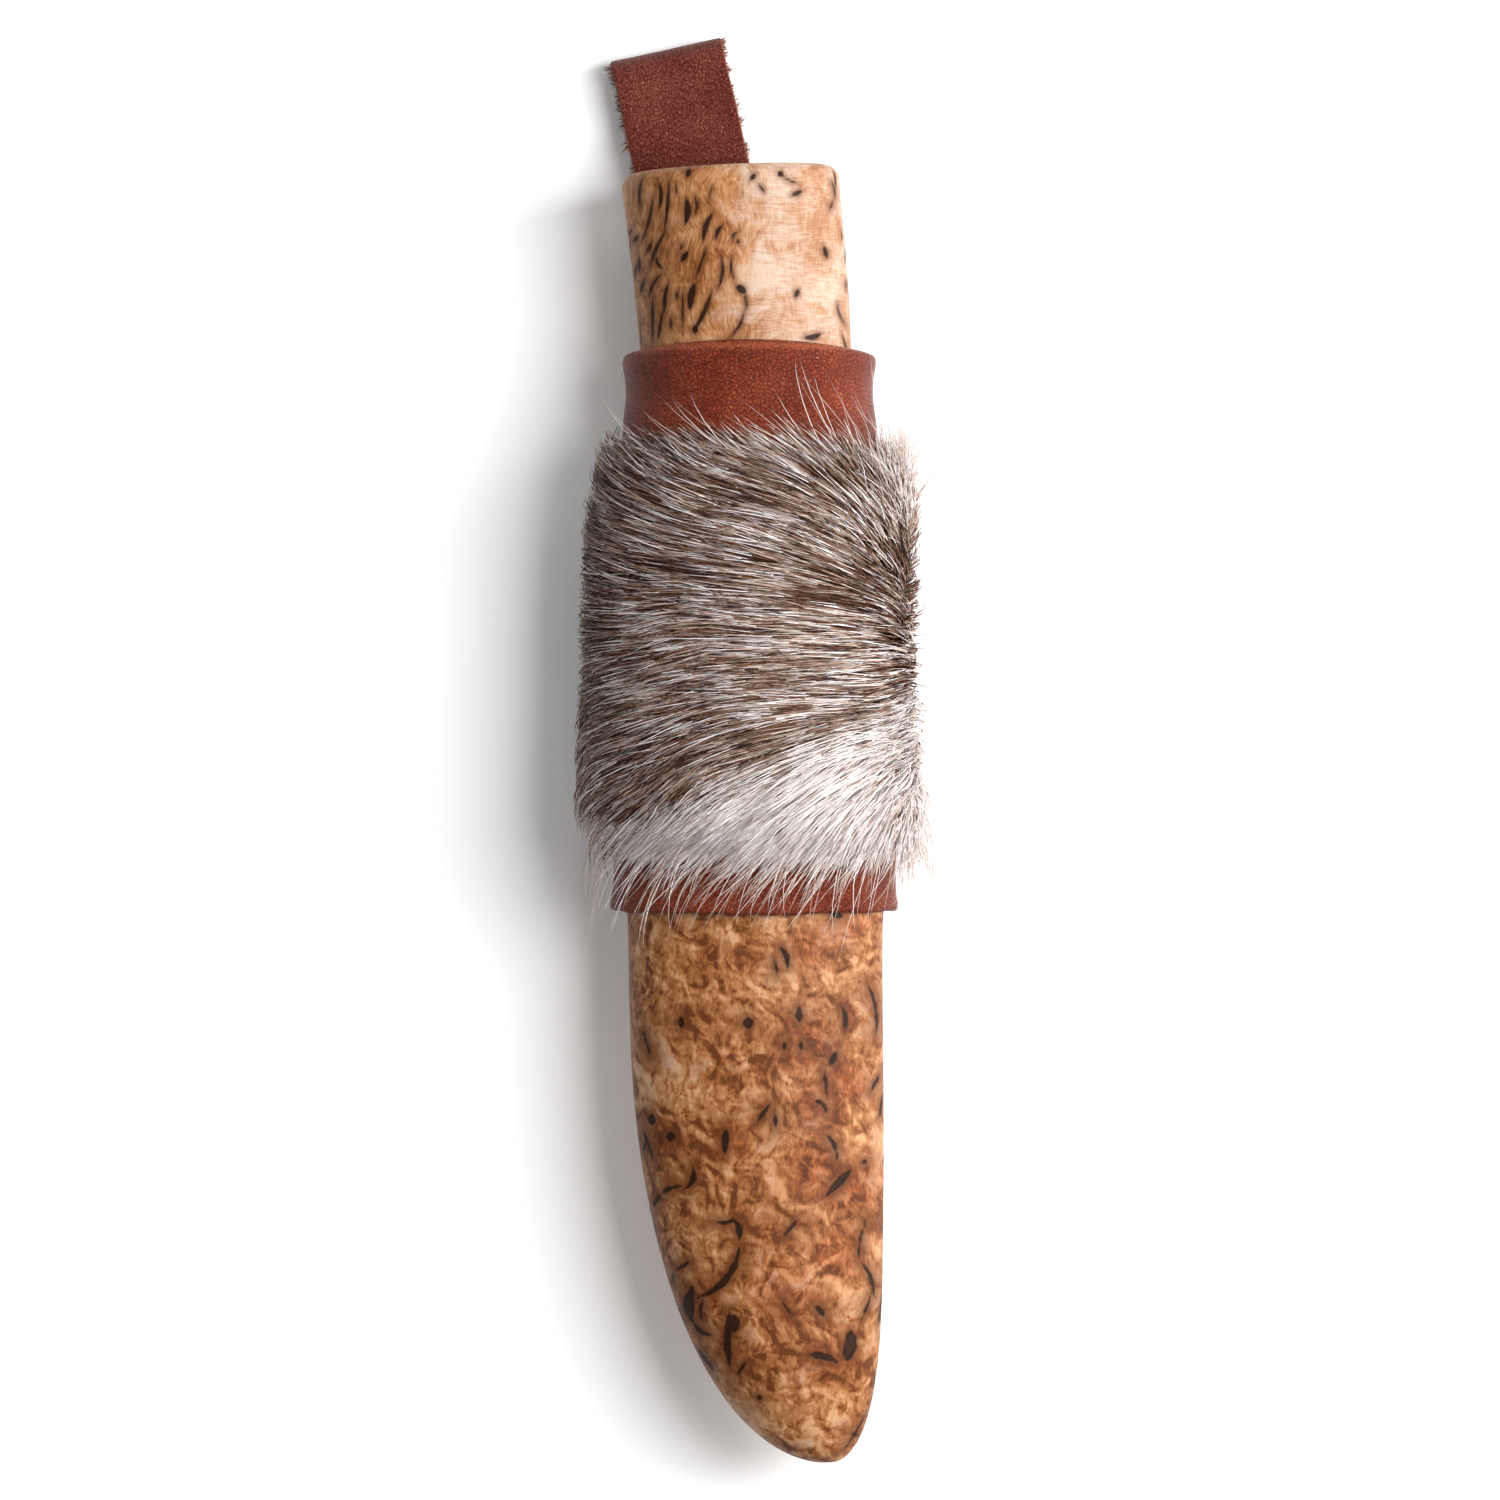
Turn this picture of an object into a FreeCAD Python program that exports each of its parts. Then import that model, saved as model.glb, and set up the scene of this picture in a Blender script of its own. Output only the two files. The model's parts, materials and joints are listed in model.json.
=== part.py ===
"""Belt knife in its sheath: curly-birch handle, birch and leather sheath, reindeer-fur band, belt loop.

The sheath lies on its back. X runs across it, Y along it towards the handle and Z up through its front face.
Z = 0 is the surface it lies on, and X = Y = 0 is the middle of its length and width.
"""
import FreeCAD, Part
import math
import os
import re

import Sketcher

doc = FreeCAD.newDocument("belt_knife")

# Driving dimensions, in mm (angles in degrees).
DIMENSIONS = {
    # Height of the plane that halves the handle, sleeve and wood.
    "mid_plane": 19.5,
    # Wood of the sheath: a straight neck inside the sleeve, then two rounded edges that meet at the toe.
    "neck_top": -9.2,
    "neck_end": -25.6,
    "wood_left": -20.2,
    "wood_right": 19.4,
    "wood_half": 12.2,
    "toe_half": 8.2,
    "toe_across": 11.0,
    "toe_run": 85.15,
    # Slot for the blade.
    "slot_half": 2.0,
    "slot_end": -95.0,
    # Leather sleeve: its outside at the top and bottom edges, and its bore.
    "sleeve_top": 61.3,
    "sleeve_bottom": -25.6,
    "rim_left": -20.4,
    "rim_right": 17.6,
    "rim_half": 15.0,
    "hem_left": -22.5,
    "hem_right": 21.3,
    "hem_half": 14.3,
    "mouth_left": -18.75,
    "mouth_right": 15.5,
    "mouth_half": 12.5,
    "rim_arc": 125.0,
    "rim_round": 0.7,
    # Reindeer hide band and its pile.
    "hide_top": 44.8,
    "hide_bottom": -17.4,
    "hide_thick": 1.3,
    "pile_top": 45.0,
    "pile_bottom": -22.0,
    "pile_wide": 27.8,
    "pile_high": 22.5,
    # Knife.
    "shoulder": -9.0,
    "bolster_top": -4.8,
    "spacer_top": -2.8,
    "butt": 88.3,
    "butt_tilt": 2.6,
    "butt_round": 2.2,
    "blade_thick": 3.2,
    "blade_tip": -92.5,
    "spine": 12.0,
    "edge": -10.5,
    "ricasso_end": -13.0,
    "belly_start": -52.0,
    "bevel_wide": 7.5,
    "point_below": 1.5,
    "spine_dip": 1.2,
    "edge_flat": 0.15,
    "tang_end": 50.0,
    "tang_wide": 9.0,
    "tang_tip_wide": 6.0,
    # Belt loop: a folded strap that turns on a rivet through the back of the sleeve.
    "pivot_x": -2.5,
    "pivot_y": 54.5,
    "loop_lean": 12.5,
    "loop_reach": 55.4,
    "strap_wide": 18.0,
    "strap_thick": 1.4,
    "strap_low": 0.2,
    "strap_high": 7.1,
    "stack_low": 1.2,
    "stack_high": 4.0,
    "stack_end": 9.0,
    "pin_radius": 1.75,
    "pin_room": 0.05,
    "head_radius": 4.0,
    "head_top": 6.9,
    "head_thick": 0.9,
    "cap_low": 0.25,
    "cap_floor": 0.75,
    # Linen thread of the two back seams.
    "thread_radius": 0.45,
    "stitch_long": 4.6,
    "stitch_pitch": 4.0,
}

sheet = doc.addObject("Spreadsheet::Sheet", "dims")
for row, (alias, value) in enumerate(DIMENSIONS.items(), start=1):
    sheet.set(f"A{row}", alias)
    sheet.set(f"B{row}", str(value))
    sheet.setAlias(f"B{row}", alias)
doc.recompute()


def dim(alias):
    """The value of a cell of the sheet, for places that take no expression."""
    return float(sheet.get(alias))


def d(text):
    """An expression with every word that is a cell's alias pointed at the sheet."""
    return re.sub(r"[a-z]\w*", lambda word: "dims." + word[0] if word[0] in DIMENSIONS else word[0], text)


def evaluate(text):
    """The number that an expression gives now, for a sketch's starting geometry."""
    return float(sheet.evalExpression(d(text)))


# ---------------------------------------------------------------- sketch helpers

def new_body(label):
    body = doc.addObject("PartDesign::Body", label)
    body.Label = label
    return body


def new_sketch(body, role, offset="0"):
    """An empty sketch on one of the body's own origin planes, moved along its normal."""
    sketch = body.newObject("Sketcher::SketchObject", body.Label + "_sketch")
    plane = next(item for item in body.Origin.OriginFeatures if item.Role == role)
    sketch.AttachmentSupport = [(plane, "")]
    sketch.MapMode = "FlatFace"
    sketch.setExpression("AttachmentOffset.Base.z", d(offset))
    return sketch


def cross_sketch(body, station):
    """A sketch across the length at a station of Y. Its own axes are X and Z."""
    return new_sketch(body, "XZ_Plane", f"-({station})")


def place(sketch, curve, point, across, up):
    """Hold a point of a curve at two expressions from the sketch's origin."""
    for kind, text in (("DistanceX", across), ("DistanceY", up)):
        index = sketch.addConstraint(Sketcher.Constraint(kind, -1, 1, curve, point, evaluate(text)))
        sketch.setExpression(f"Constraints[{index}]", d(text))


def oval(sketch, left, right, half, middle="mid_plane"):
    """An ellipse between two X positions, half as high as 'half' each side of its middle."""
    values = [evaluate(text) for text in (left, right, half, middle)]
    centre = FreeCAD.Vector((values[0] + values[1]) / 2, values[3], 0)
    wide = (values[1] - values[0]) / 2
    major = centre + FreeCAD.Vector(wide, 0, 0)
    minor = centre + FreeCAD.Vector(0, values[2], 0)
    sketch.addGeometry(Part.Ellipse(major, minor, centre), False)
    sketch.exposeInternalGeometry(0)
    place(sketch, 0, 3, f"(({left}) + ({right})) / 2", middle)
    sketch.addConstraint(Sketcher.Constraint("Horizontal", 1))
    for line, text in ((1, f"({right}) - ({left})"), (2, f"2 * ({half})")):
        size = evaluate(text)
        index = sketch.addConstraint(Sketcher.Constraint("Distance", line, size))
        sketch.setExpression(f"Constraints[{index}]", d(text))


def polygon(sketch, corners):
    """A closed outline of straight lines whose corners are pairs of expressions."""
    first = sketch.GeometryCount
    points = [FreeCAD.Vector(evaluate(across), evaluate(up), 0) for across, up in corners]
    for start, end in zip(points, points[1:] + points[:1]):
        sketch.addGeometry(Part.LineSegment(start, end), False)
    count = len(points)
    for index in range(count):
        follower = first + (index + 1) % count
        sketch.addConstraint(Sketcher.Constraint("Coincident", first + index, 2, follower, 1))
    for index, (across, up) in enumerate(corners):
        place(sketch, first + index, 1, across, up)


def circle(sketch, radius, across="0", up="0"):
    centre = FreeCAD.Vector(evaluate(across), evaluate(up), 0)
    axis = FreeCAD.Vector(0, 0, 1)
    curve = sketch.addGeometry(Part.Circle(centre, axis, evaluate(radius)), False)
    place(sketch, curve, 3, across, up)
    index = sketch.addConstraint(Sketcher.Constraint("Radius", curve, evaluate(radius)))
    sketch.setExpression(f"Constraints[{index}]", d(radius))


# ---------------------------------------------------------------- feature helpers

def loft(body, sketches, kind="PartDesign::AdditiveLoft", ruled=False):
    feature = body.newObject(kind, body.Label + "_loft")
    feature.Profile = sketches[0]
    feature.Sections = sketches[1:]
    feature.Ruled = ruled
    doc.recompute()
    return feature


def pad(body, sketch, length, midplane=False, reverse=False):
    feature = body.newObject("PartDesign::Pad", body.Label + "_pad")
    feature.Profile = sketch
    feature.setExpression("Length", d(length))
    feature.SideType = "Symmetric" if midplane else "One side"
    feature.Reversed = reverse
    doc.recompute()
    return feature


def pocket(body, sketch, length, midplane=False, reverse=False):
    """Cut a sketch into a body, and stop if nothing was cut."""
    before = body.Shape.Volume
    feature = body.newObject("PartDesign::Pocket", body.Label + "_pocket")
    feature.Profile = sketch
    feature.setExpression("Length", d(length))
    feature.SideType = "Symmetric" if midplane else "One side"
    feature.Reversed = reverse
    doc.recompute()
    if body.Shape.Volume >= before - 1e-6:
        raise RuntimeError(f"{body.Label}: a pocket cut nothing")
    return feature


def turned(body, corners):
    """A solid of revolution about the body's own Z axis."""
    sketch = new_sketch(body, "XZ_Plane")
    polygon(sketch, corners)
    feature = body.newObject("PartDesign::Revolution", body.Label + "_turn")
    feature.Profile = sketch
    feature.ReferenceAxis = (sketch, ["V_Axis"])
    feature.Angle = 360.0
    doc.recompute()
    return feature


def rounded(body, radius, wanted):
    """Fillet the edges that a test picks."""
    edges = [f"Edge{i}" for i, edge in enumerate(body.Shape.Edges, start=1) if wanted(edge)]
    if not edges:
        raise RuntimeError(f"{body.Label}: no edge to round")
    base = body.Tip
    feature = body.newObject("PartDesign::Fillet", body.Label + "_fillet")
    feature.Base = (base, edges)
    feature.setExpression("Radius", d(radius))
    doc.recompute()
    return feature


# ---------------------------------------------------------------- shape of the sheath

def wood_section(share):
    """Station, left, right and half height of the wood, a share of the way from the neck to the toe."""
    left = f"toe_across - (toe_across - wood_left) * sqrt(1 - pow({share}; 2.5))"
    right = f"toe_across + (wood_right - toe_across) * sqrt(1 - pow({share}; 7.8))"
    half = f"(wood_half - (wood_half - toe_half) * {share}) * sqrt(1 - pow({share}; 8))"
    return f"neck_end - toe_run * {share}", left, right, half


def sleeve_section(station, proud="0"):
    """Left, right and half height of the sleeve's outside at a station, moved outwards by 'proud'."""
    share = f"((sleeve_top - ({station})) / (sleeve_top - sleeve_bottom))"
    left = f"rim_left + (hem_left - rim_left) * {share} - ({proud})"
    right = f"rim_right + (hem_right - rim_right) * {share} + ({proud})"
    half = f"rim_half + (hem_half - rim_half) * {share} + ({proud})"
    return left, right, half


def sleeve_oval(body, station, proud="0"):
    sketch = cross_sketch(body, station)
    oval(sketch, *sleeve_section(station, proud))
    return sketch


WOOD_TURNS = (0, 20, 35, 48, 59, 68, 75, 81, 86)


def sheath_half(label, is_front):
    """One of the two glued halves, hollowed for the blade."""
    body = new_body(label)
    neck = cross_sketch(body, "neck_top")
    oval(neck, "wood_left", "wood_right", "wood_half")
    pad(body, neck, "neck_top - neck_end")
    sections = []
    for turn in WOOD_TURNS:
        station, left, right, half = wood_section(f"{math.sin(math.radians(turn)):.5f}")
        sketch = cross_sketch(body, station)
        oval(sketch, left, right, half)
        sections.append(sketch)
    loft(body, sections)
    # Take away the other half.
    other = new_sketch(body, "XY_Plane", "mid_plane")
    far = "3 * toe_run"
    polygon(other, [
        (f"-({far})", f"-({far})"),
        (far, f"-({far})"),
        (far, far),
        (f"-({far})", far),
    ])
    pocket(body, other, "4 * wood_half", reverse=not is_front)
    # The blade's slot, open at the neck.
    slot = new_sketch(body, "XY_Plane", "mid_plane")
    polygon(slot, [
        ("edge - 1", "neck_top + 1"),
        ("edge - 1", "belly_start - 8"),
        ("edge + 4", "slot_end + 16"),
        ("edge + 12", "slot_end + 5"),
        ("spine - 4", "slot_end"),
        ("spine + 1", "slot_end"),
        ("spine + 1", "neck_top + 1"),
    ])
    pocket(body, slot, "slot_half", reverse=is_front)
    return body


def leather_sleeve():
    """A tapered oval tube, bored for the handle above the wood and for the wood's neck below it."""
    body = new_body("leather_sleeve")
    loft(body, [sleeve_oval(body, "sleeve_top"), sleeve_oval(body, "sleeve_bottom")], ruled=True)
    mouth = cross_sketch(body, "sleeve_top + 0.5")
    oval(mouth, "mouth_left", "mouth_right", "mouth_half")
    ledge = cross_sketch(body, "neck_top + 0.5")
    oval(ledge, "wood_left - 0.1", "wood_right + 0.1", "wood_half + 0.1")
    loft(body, [mouth, ledge], "PartDesign::SubtractiveLoft", ruled=True)
    seat = cross_sketch(body, "neck_top + 1")
    oval(seat, "wood_left - 0.05", "wood_right + 0.05", "wood_half + 0.05")
    pocket(body, seat, "neck_top + 2 - sleeve_bottom", reverse=True)
    # The top edge is a shallow arc, highest over the middle of the front and back.
    above = new_sketch(body, "XY_Plane")
    for radius in ("rim_arc", "rim_arc + 20"):
        circle(above, radius, "(rim_left + rim_right) / 2", "sleeve_top - rim_arc")
    pocket(body, above, "6 * rim_half", midplane=True)
    # Rivet: a hole through the back wall, and a recess inside for its head.
    pin_hole = ("pin_radius", "0", "mid_plane")
    head_recess = ("head_radius + 0.1", "head_top - head_thick", "4")
    for radius, low, length in (pin_hole, head_recess):
        spot = new_sketch(body, "XY_Plane", low)
        circle(spot, radius, "pivot_x", "pivot_y")
        pocket(body, spot, length, reverse=True)
    rounded(body, "rim_round", lambda edge: edge.BoundBox.YMin > dim("sleeve_top") - 3)
    return body


def hide_band():
    """The hide that the hair grows from, wrapped round the sleeve."""
    body = new_body("hide_band")
    for proud, kind in (("hide_thick", "PartDesign::AdditiveLoft"), ("0.02", "PartDesign::SubtractiveLoft")):
        extra = "0" if proud == "hide_thick" else "1"
        ends = (f"hide_top + {extra}", f"hide_bottom - {extra}")
        loft(body, [sleeve_oval(body, station, proud) for station in ends], kind, ruled=True)
    return body


def fur_pile():
    """The outer shape of the hair: a barrel, pressed flat where the sheath lies on it."""
    body = new_body("fur_pile")
    barrel = (
        ("pile_top", 0.885, 0.93),
        ("pile_top - 8", 0.965, 0.985),
        ("(pile_top + pile_bottom) / 2", 1.0, 1.0),
        ("pile_bottom + 8", 0.975, 0.985),
        ("pile_bottom", 0.915, 0.93),
    )
    sections = []
    for station, wide, high in barrel:
        sketch = cross_sketch(body, station)
        oval(sketch, f"-pile_wide * {wide}", f"pile_wide * {wide}", f"pile_high * {high}")
        sections.append(sketch)
    loft(body, sections)
    stations = ("pile_top + 1", "pile_bottom - 1")
    inside = [sleeve_oval(body, station, "hide_thick + 0.02") for station in stations]
    loft(body, inside, "PartDesign::SubtractiveLoft", ruled=True)
    under = new_sketch(body, "XY_Plane")
    reach = "2 * pile_wide"
    polygon(under, [(f"-{reach}", f"-{reach}"), (reach, f"-{reach}"), (reach, reach), (f"-{reach}", reach)])
    pocket(body, under, "pile_high")
    return body


# ---------------------------------------------------------------- knife

def tang_slot(body):
    """The slot that the stick tang passes through, across the whole body it is cut in."""
    sketch = new_sketch(body, "XY_Plane", "mid_plane")
    polygon(sketch, tang_outline("0.1"))
    return pocket(body, sketch, "blade_thick + 0.1", midplane=True)


def tang_outline(room):
    """The tapering stick tang, from the blade's shoulder upwards, with room round it."""
    middle = "(spine + edge) / 2"
    wide = f"(tang_wide / 2 + {room})"
    narrow = f"(tang_tip_wide / 2 + {room})"
    return [
        (f"{middle} - {wide}", "shoulder"),
        (f"{middle} - {narrow}", f"tang_end + {room}"),
        (f"{middle} + {narrow}", f"tang_end + {room}"),
        (f"{middle} + {wide}", "shoulder"),
    ]


def blade():
    """A flat-ground blade: straight spine, curved belly, broad bevels, and a stick tang."""
    body = new_body("blade")
    stick = new_sketch(body, "XY_Plane", "mid_plane")
    polygon(stick, tang_outline("0"))
    pad(body, stick, "blade_thick", midplane=True)
    ricasso = new_sketch(body, "XY_Plane", "mid_plane")
    polygon(ricasso, [
        ("edge", "shoulder"),
        ("edge", "ricasso_end"),
        ("spine", "ricasso_end"),
        ("spine", "shoulder"),
    ])
    pad(body, ricasso, "blade_thick", midplane=True)
    sections = [blade_section(body, "ricasso_end", "0"), blade_section(body, "belly_start", "0")]
    loft(body, sections, ruled=True)
    curved = []
    for share in (0, 0.3, 0.55, 0.75, 0.9, 0.97, 0.997):
        station = f"belly_start + (blade_tip - belly_start) * {share}"
        curved.append(blade_section(body, station, f"{share}"))
    loft(body, curved)
    return body


def blade_section(body, station, share):
    """The ground section, a share of the way along the belly from its start to the tip."""
    point = "(spine - point_below)"
    cutting = f"({point} - ({point} - edge) * sqrt(1 - pow({share}; 2)))"
    back = f"(spine - spine_dip * pow({share}; 2))"
    half = f"(blade_thick / 2 * (1 - 0.45 * pow({share}; 3)))"
    ground = f"min(0.8; bevel_wide / (spine - edge)) * (1 + 0.9 * {share})"
    shoulder = f"({cutting} + ({back} - {cutting}) * {ground})"
    sketch = cross_sketch(body, station)
    polygon(sketch, [
        (back, f"mid_plane - {half}"),
        (back, f"mid_plane + {half}"),
        (shoulder, f"mid_plane + {half}"),
        (cutting, "mid_plane + edge_flat"),
        (cutting, "mid_plane - edge_flat"),
        (shoulder, f"mid_plane - {half}"),
    ])
    return sketch


def disc_on_tang(label, low, high, trim):
    """An oval plate with a slot for the tang, between two stations."""
    body = new_body(label)
    sketch = cross_sketch(body, low)
    oval(sketch, f"edge - 2.6 + {trim}", f"spine + 1.2 - {trim}", f"10 - {trim}")
    pad(body, sketch, f"{high} - {low}", reverse=True)
    tang_slot(body)
    return body


def handle():
    """The birch handle: an oval barrel, wider and leaning a little to the left at the butt."""
    body = new_body("handle")
    shape = (
        ("spacer_top", -13.0, 13.2, 10.0),
        ("25", -15.3, 14.0, 11.2),
        ("45", -17.0, 14.35, 11.8),
        ("62.4", -18.3, 14.3, 12.0),
        ("82.6", -20.6, 12.9, 12.0),
        ("butt + 4", -21.6, 12.2, 11.8),
    )
    sections = []
    for station, left, right, half in shape:
        sketch = cross_sketch(body, station)
        oval(sketch, str(left), str(right), str(half))
        sections.append(sketch)
    loft(body, sections)
    end = new_sketch(body, "XY_Plane")
    low = "butt - 20 * tan(butt_tilt * 1deg)"
    high = "butt + 20 * tan(butt_tilt * 1deg)"
    polygon(end, [("-24.2", low), ("15.8", high), ("15.8", "butt + 20"), ("-24.2", "butt + 20")])
    pocket(body, end, "4 * mid_plane", midplane=True)
    rounded(body, "butt_round", lambda edge: edge.BoundBox.YMin > dim("butt") - 3)
    tang_slot(body)
    return body


# ---------------------------------------------------------------- belt loop and its rivet

def at_pivot(body, turn=0.0):
    """Put a body drawn about its own origin at the rivet."""
    body.Placement = FreeCAD.Placement(FreeCAD.Vector(), FreeCAD.Rotation(FreeCAD.Vector(0, 0, 1), turn))
    body.setExpression("Placement.Base.x", d("pivot_x"))
    body.setExpression("Placement.Base.y", d("pivot_y"))
    return body


def folded_outline(sketch, lower, upper):
    """A closed side view of the strap: the lower corners, a half circle at the fold, the upper corners."""
    first = sketch.GeometryCount
    corners = lower + upper
    points = [FreeCAD.Vector(evaluate(along), evaluate(up), 0) for along, up in corners]
    turn = len(lower) - 1
    for index, start in enumerate(points):
        end = points[(index + 1) % len(points)]
        if index == turn:
            ring = Part.Circle((start + end) / 2, FreeCAD.Vector(0, 0, 1), start.distanceToPoint(end) / 2)
            sketch.addGeometry(Part.ArcOfCircle(ring, -math.pi / 2, math.pi / 2), False)
        else:
            sketch.addGeometry(Part.LineSegment(start, end), False)
    count = len(points)
    for index, (along, up) in enumerate(corners):
        follower = first + (index + 1) % count
        sketch.addConstraint(Sketcher.Constraint("Coincident", first + index, 2, follower, 1))
        place(sketch, first + index, 1, along, up)
    middle = sketch.addConstraint(Sketcher.Constraint("DistanceX", -1, 1, first + turn, 3, points[turn].x))
    sketch.setExpression(f"Constraints[{middle}]", d(lower[-1][0]))


def belt_loop():
    """A strap folded at its top, whose two ends lie together under the rivet."""
    body = new_body("belt_loop")
    side = new_sketch(body, "YZ_Plane")
    fold = "loop_reach - (strap_high - strap_low) / 2"
    outer_back = [
        ("-stack_end", "stack_low"),
        ("stack_end", "stack_low"),
        ("3 * stack_end", "strap_low"),
        (fold, "strap_low"),
    ]
    outer_front = [
        (fold, "strap_high"),
        ("3 * stack_end", "strap_high"),
        ("stack_end", "stack_high"),
        ("-stack_end", "stack_high"),
    ]
    folded_outline(side, outer_back, outer_front)
    inner_back = [
        ("1.5 * stack_end", "(stack_low + stack_high) / 2"),
        ("3 * stack_end", "strap_low + strap_thick"),
        (fold, "strap_low + strap_thick"),
    ]
    inner_front = [
        (fold, "strap_high - strap_thick"),
        ("3 * stack_end", "strap_high - strap_thick"),
    ]
    folded_outline(side, inner_back, inner_front)
    pad(body, side, "strap_wide", midplane=True)
    hole = new_sketch(body, "XY_Plane")
    circle(hole, "pin_radius + pin_room")
    pocket(body, hole, "mid_plane", reverse=True)
    end = 0.1 - dim("stack_end")
    rounded(body, "stack_end - 0.5", lambda edge: edge.BoundBox.YMax < end and edge.BoundBox.XLength < 0.1)
    return at_pivot(body, dim("loop_lean"))


def loop_rivet_post():
    """The rivet's head, inside the sleeve, and its post through the sleeve and the strap."""
    body = new_body("loop_rivet_post")
    turned(body, [
        ("0", "head_top"),
        ("head_radius", "head_top"),
        ("head_radius", "head_top - head_thick"),
        ("pin_radius", "head_top - head_thick"),
        ("pin_radius", "cap_floor"),
        ("0", "cap_floor"),
    ])
    return at_pivot(body)


def loop_rivet_cap():
    """The domed cap under the strap, closed over the end of the post."""
    body = new_body("loop_rivet_cap")
    turned(body, [
        ("0", "cap_low"),
        ("0.7 * head_radius", "cap_low"),
        ("head_radius", "cap_floor"),
        ("head_radius", "stack_low - 0.05"),
        ("pin_radius", "stack_low - 0.05"),
        ("pin_radius", "cap_floor"),
        ("0", "cap_floor"),
    ])
    return at_pivot(body)


# ---------------------------------------------------------------- thread of the back seams

def seam_thread(label, turn, top, bottom, proud):
    """Short zigzag stitches along the back of the sleeve, at an angle from its lowest line."""
    stitches = []
    count = int((evaluate(top) - evaluate(bottom)) / dim("stitch_pitch"))
    for index in range(count + 1):
        station = evaluate(top) - index * dim("stitch_pitch")
        left, right, half = (evaluate(text) for text in sleeve_section(f"({station})", proud))
        wide = (right - left) / 2
        angle = math.radians(turn)
        spot = FreeCAD.Vector(
            (left + right) / 2 + wide * math.sin(angle),
            station,
            dim("mid_plane") - half * math.cos(angle),
        )
        along = FreeCAD.Vector(wide * math.cos(angle), 0, half * math.sin(angle)).normalize()
        slope = math.radians(25 if index % 2 else -25)
        direction = along * math.cos(slope) + FreeCAD.Vector(0, math.sin(slope), 0)
        stitch = doc.addObject("Part::Cylinder", f"{label}_stitch")
        stitch.setExpression("Radius", d("thread_radius"))
        stitch.setExpression("Height", d("stitch_long"))
        start = spot - direction * (dim("stitch_long") / 2)
        stitch.Placement = FreeCAD.Placement(start, FreeCAD.Rotation(FreeCAD.Vector(0, 0, 1), direction))
        stitches.append(stitch)
    group = doc.addObject("Part::Compound", label)
    group.Links = stitches
    group.Label = label
    return group


# ---------------------------------------------------------------- the whole object

PARTS = [
    sheath_half("sheath_front_half", True),
    sheath_half("sheath_back_half", False),
    leather_sleeve(),
    hide_band(),
    fur_pile(),
    seam_thread("sleeve_seam_thread", 35, "sleeve_top - 3", "sleeve_bottom + 2", "0.1"),
    seam_thread("hide_seam_thread", -30, "hide_top - 2", "hide_bottom + 2", "hide_thick + 0.1"),
    loop_rivet_post(),
    loop_rivet_cap(),
    blade(),
    disc_on_tang("bolster", "shoulder", "bolster_top", "0.6"),
    disc_on_tang("bark_spacer", "bolster_top", "spacer_top", "0.3"),
    handle(),
    belt_loop(),
]
doc.recompute()

for item in doc.Objects:
    if "Invalid" in item.State or "Error" in item.State:
        raise RuntimeError(f"{item.Label}: {item.State}")
os.makedirs("parts", exist_ok=True)
for item in PARTS:
    if item.Shape.isNull() or not item.Shape.isValid():
        raise RuntimeError(f"{item.Label}: bad shape")
    item.Shape.exportStep(f"parts/{item.Label}.step")
    print(f"{item.Label}: {len(item.Shape.Solids)} solids, {item.Shape.Volume / 1000:.2f} cm3")
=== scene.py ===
"""Looks of the sheathed belt knife: curly birch, leather, reindeer hair, thread, metal, light and camera."""
import json
import math

import bpy
import numpy as np
from mathutils import Matrix, Vector


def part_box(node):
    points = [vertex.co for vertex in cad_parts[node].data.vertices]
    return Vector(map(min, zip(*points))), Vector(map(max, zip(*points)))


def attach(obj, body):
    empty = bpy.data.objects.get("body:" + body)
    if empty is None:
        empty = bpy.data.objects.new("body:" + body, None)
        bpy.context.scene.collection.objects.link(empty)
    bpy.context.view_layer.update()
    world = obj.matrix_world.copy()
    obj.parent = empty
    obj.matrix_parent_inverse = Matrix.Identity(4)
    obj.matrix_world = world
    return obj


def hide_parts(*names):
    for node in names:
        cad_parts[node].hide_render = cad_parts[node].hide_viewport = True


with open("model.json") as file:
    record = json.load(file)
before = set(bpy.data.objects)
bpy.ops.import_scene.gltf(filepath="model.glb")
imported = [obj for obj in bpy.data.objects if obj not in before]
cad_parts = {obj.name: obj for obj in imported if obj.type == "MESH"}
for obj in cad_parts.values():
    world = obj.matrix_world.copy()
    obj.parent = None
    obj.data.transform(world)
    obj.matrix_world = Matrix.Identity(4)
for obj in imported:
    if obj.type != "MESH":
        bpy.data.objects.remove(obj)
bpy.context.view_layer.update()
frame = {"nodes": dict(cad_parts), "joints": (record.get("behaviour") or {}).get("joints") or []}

MM = 0.001
NODES = frame["nodes"]
FULL_TURN = 2 * math.pi


# ---------------------------------------------------------------- camera, light and floor

def mid_height():
    """Height of the plane that halves the wood, in mm: the widest outline lies there."""
    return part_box("sheath_front_half")[0].z / MM


def add_camera():
    """Straight above the object, with the handle's end at the top of the view."""
    distance = 950.0
    field = 230.8
    data = bpy.data.cameras.new("camera")
    data.sensor_width = 36.0
    data.lens = data.sensor_width * distance / field
    data.clip_start = 0.05
    data.clip_end = 20.0
    camera = bpy.data.objects.new("camera", data)
    camera.location = Vector((-1.23, -1.0, mid_height() + distance)) * MM
    bpy.context.scene.collection.objects.link(camera)
    bpy.context.scene.camera = camera


def add_area(name, location, aim, size, power, colour=(1.0, 1.0, 1.0)):
    data = bpy.data.lights.new(name, "AREA")
    data.shape = "RECTANGLE"
    data.size, data.size_y = size
    data.energy = power
    data.color = colour
    light = bpy.data.objects.new(name, data)
    light.location = location
    light.rotation_euler = (Vector(aim) - Vector(location)).to_track_quat("-Z", "Y").to_euler()
    bpy.context.scene.collection.objects.link(light)


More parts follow.
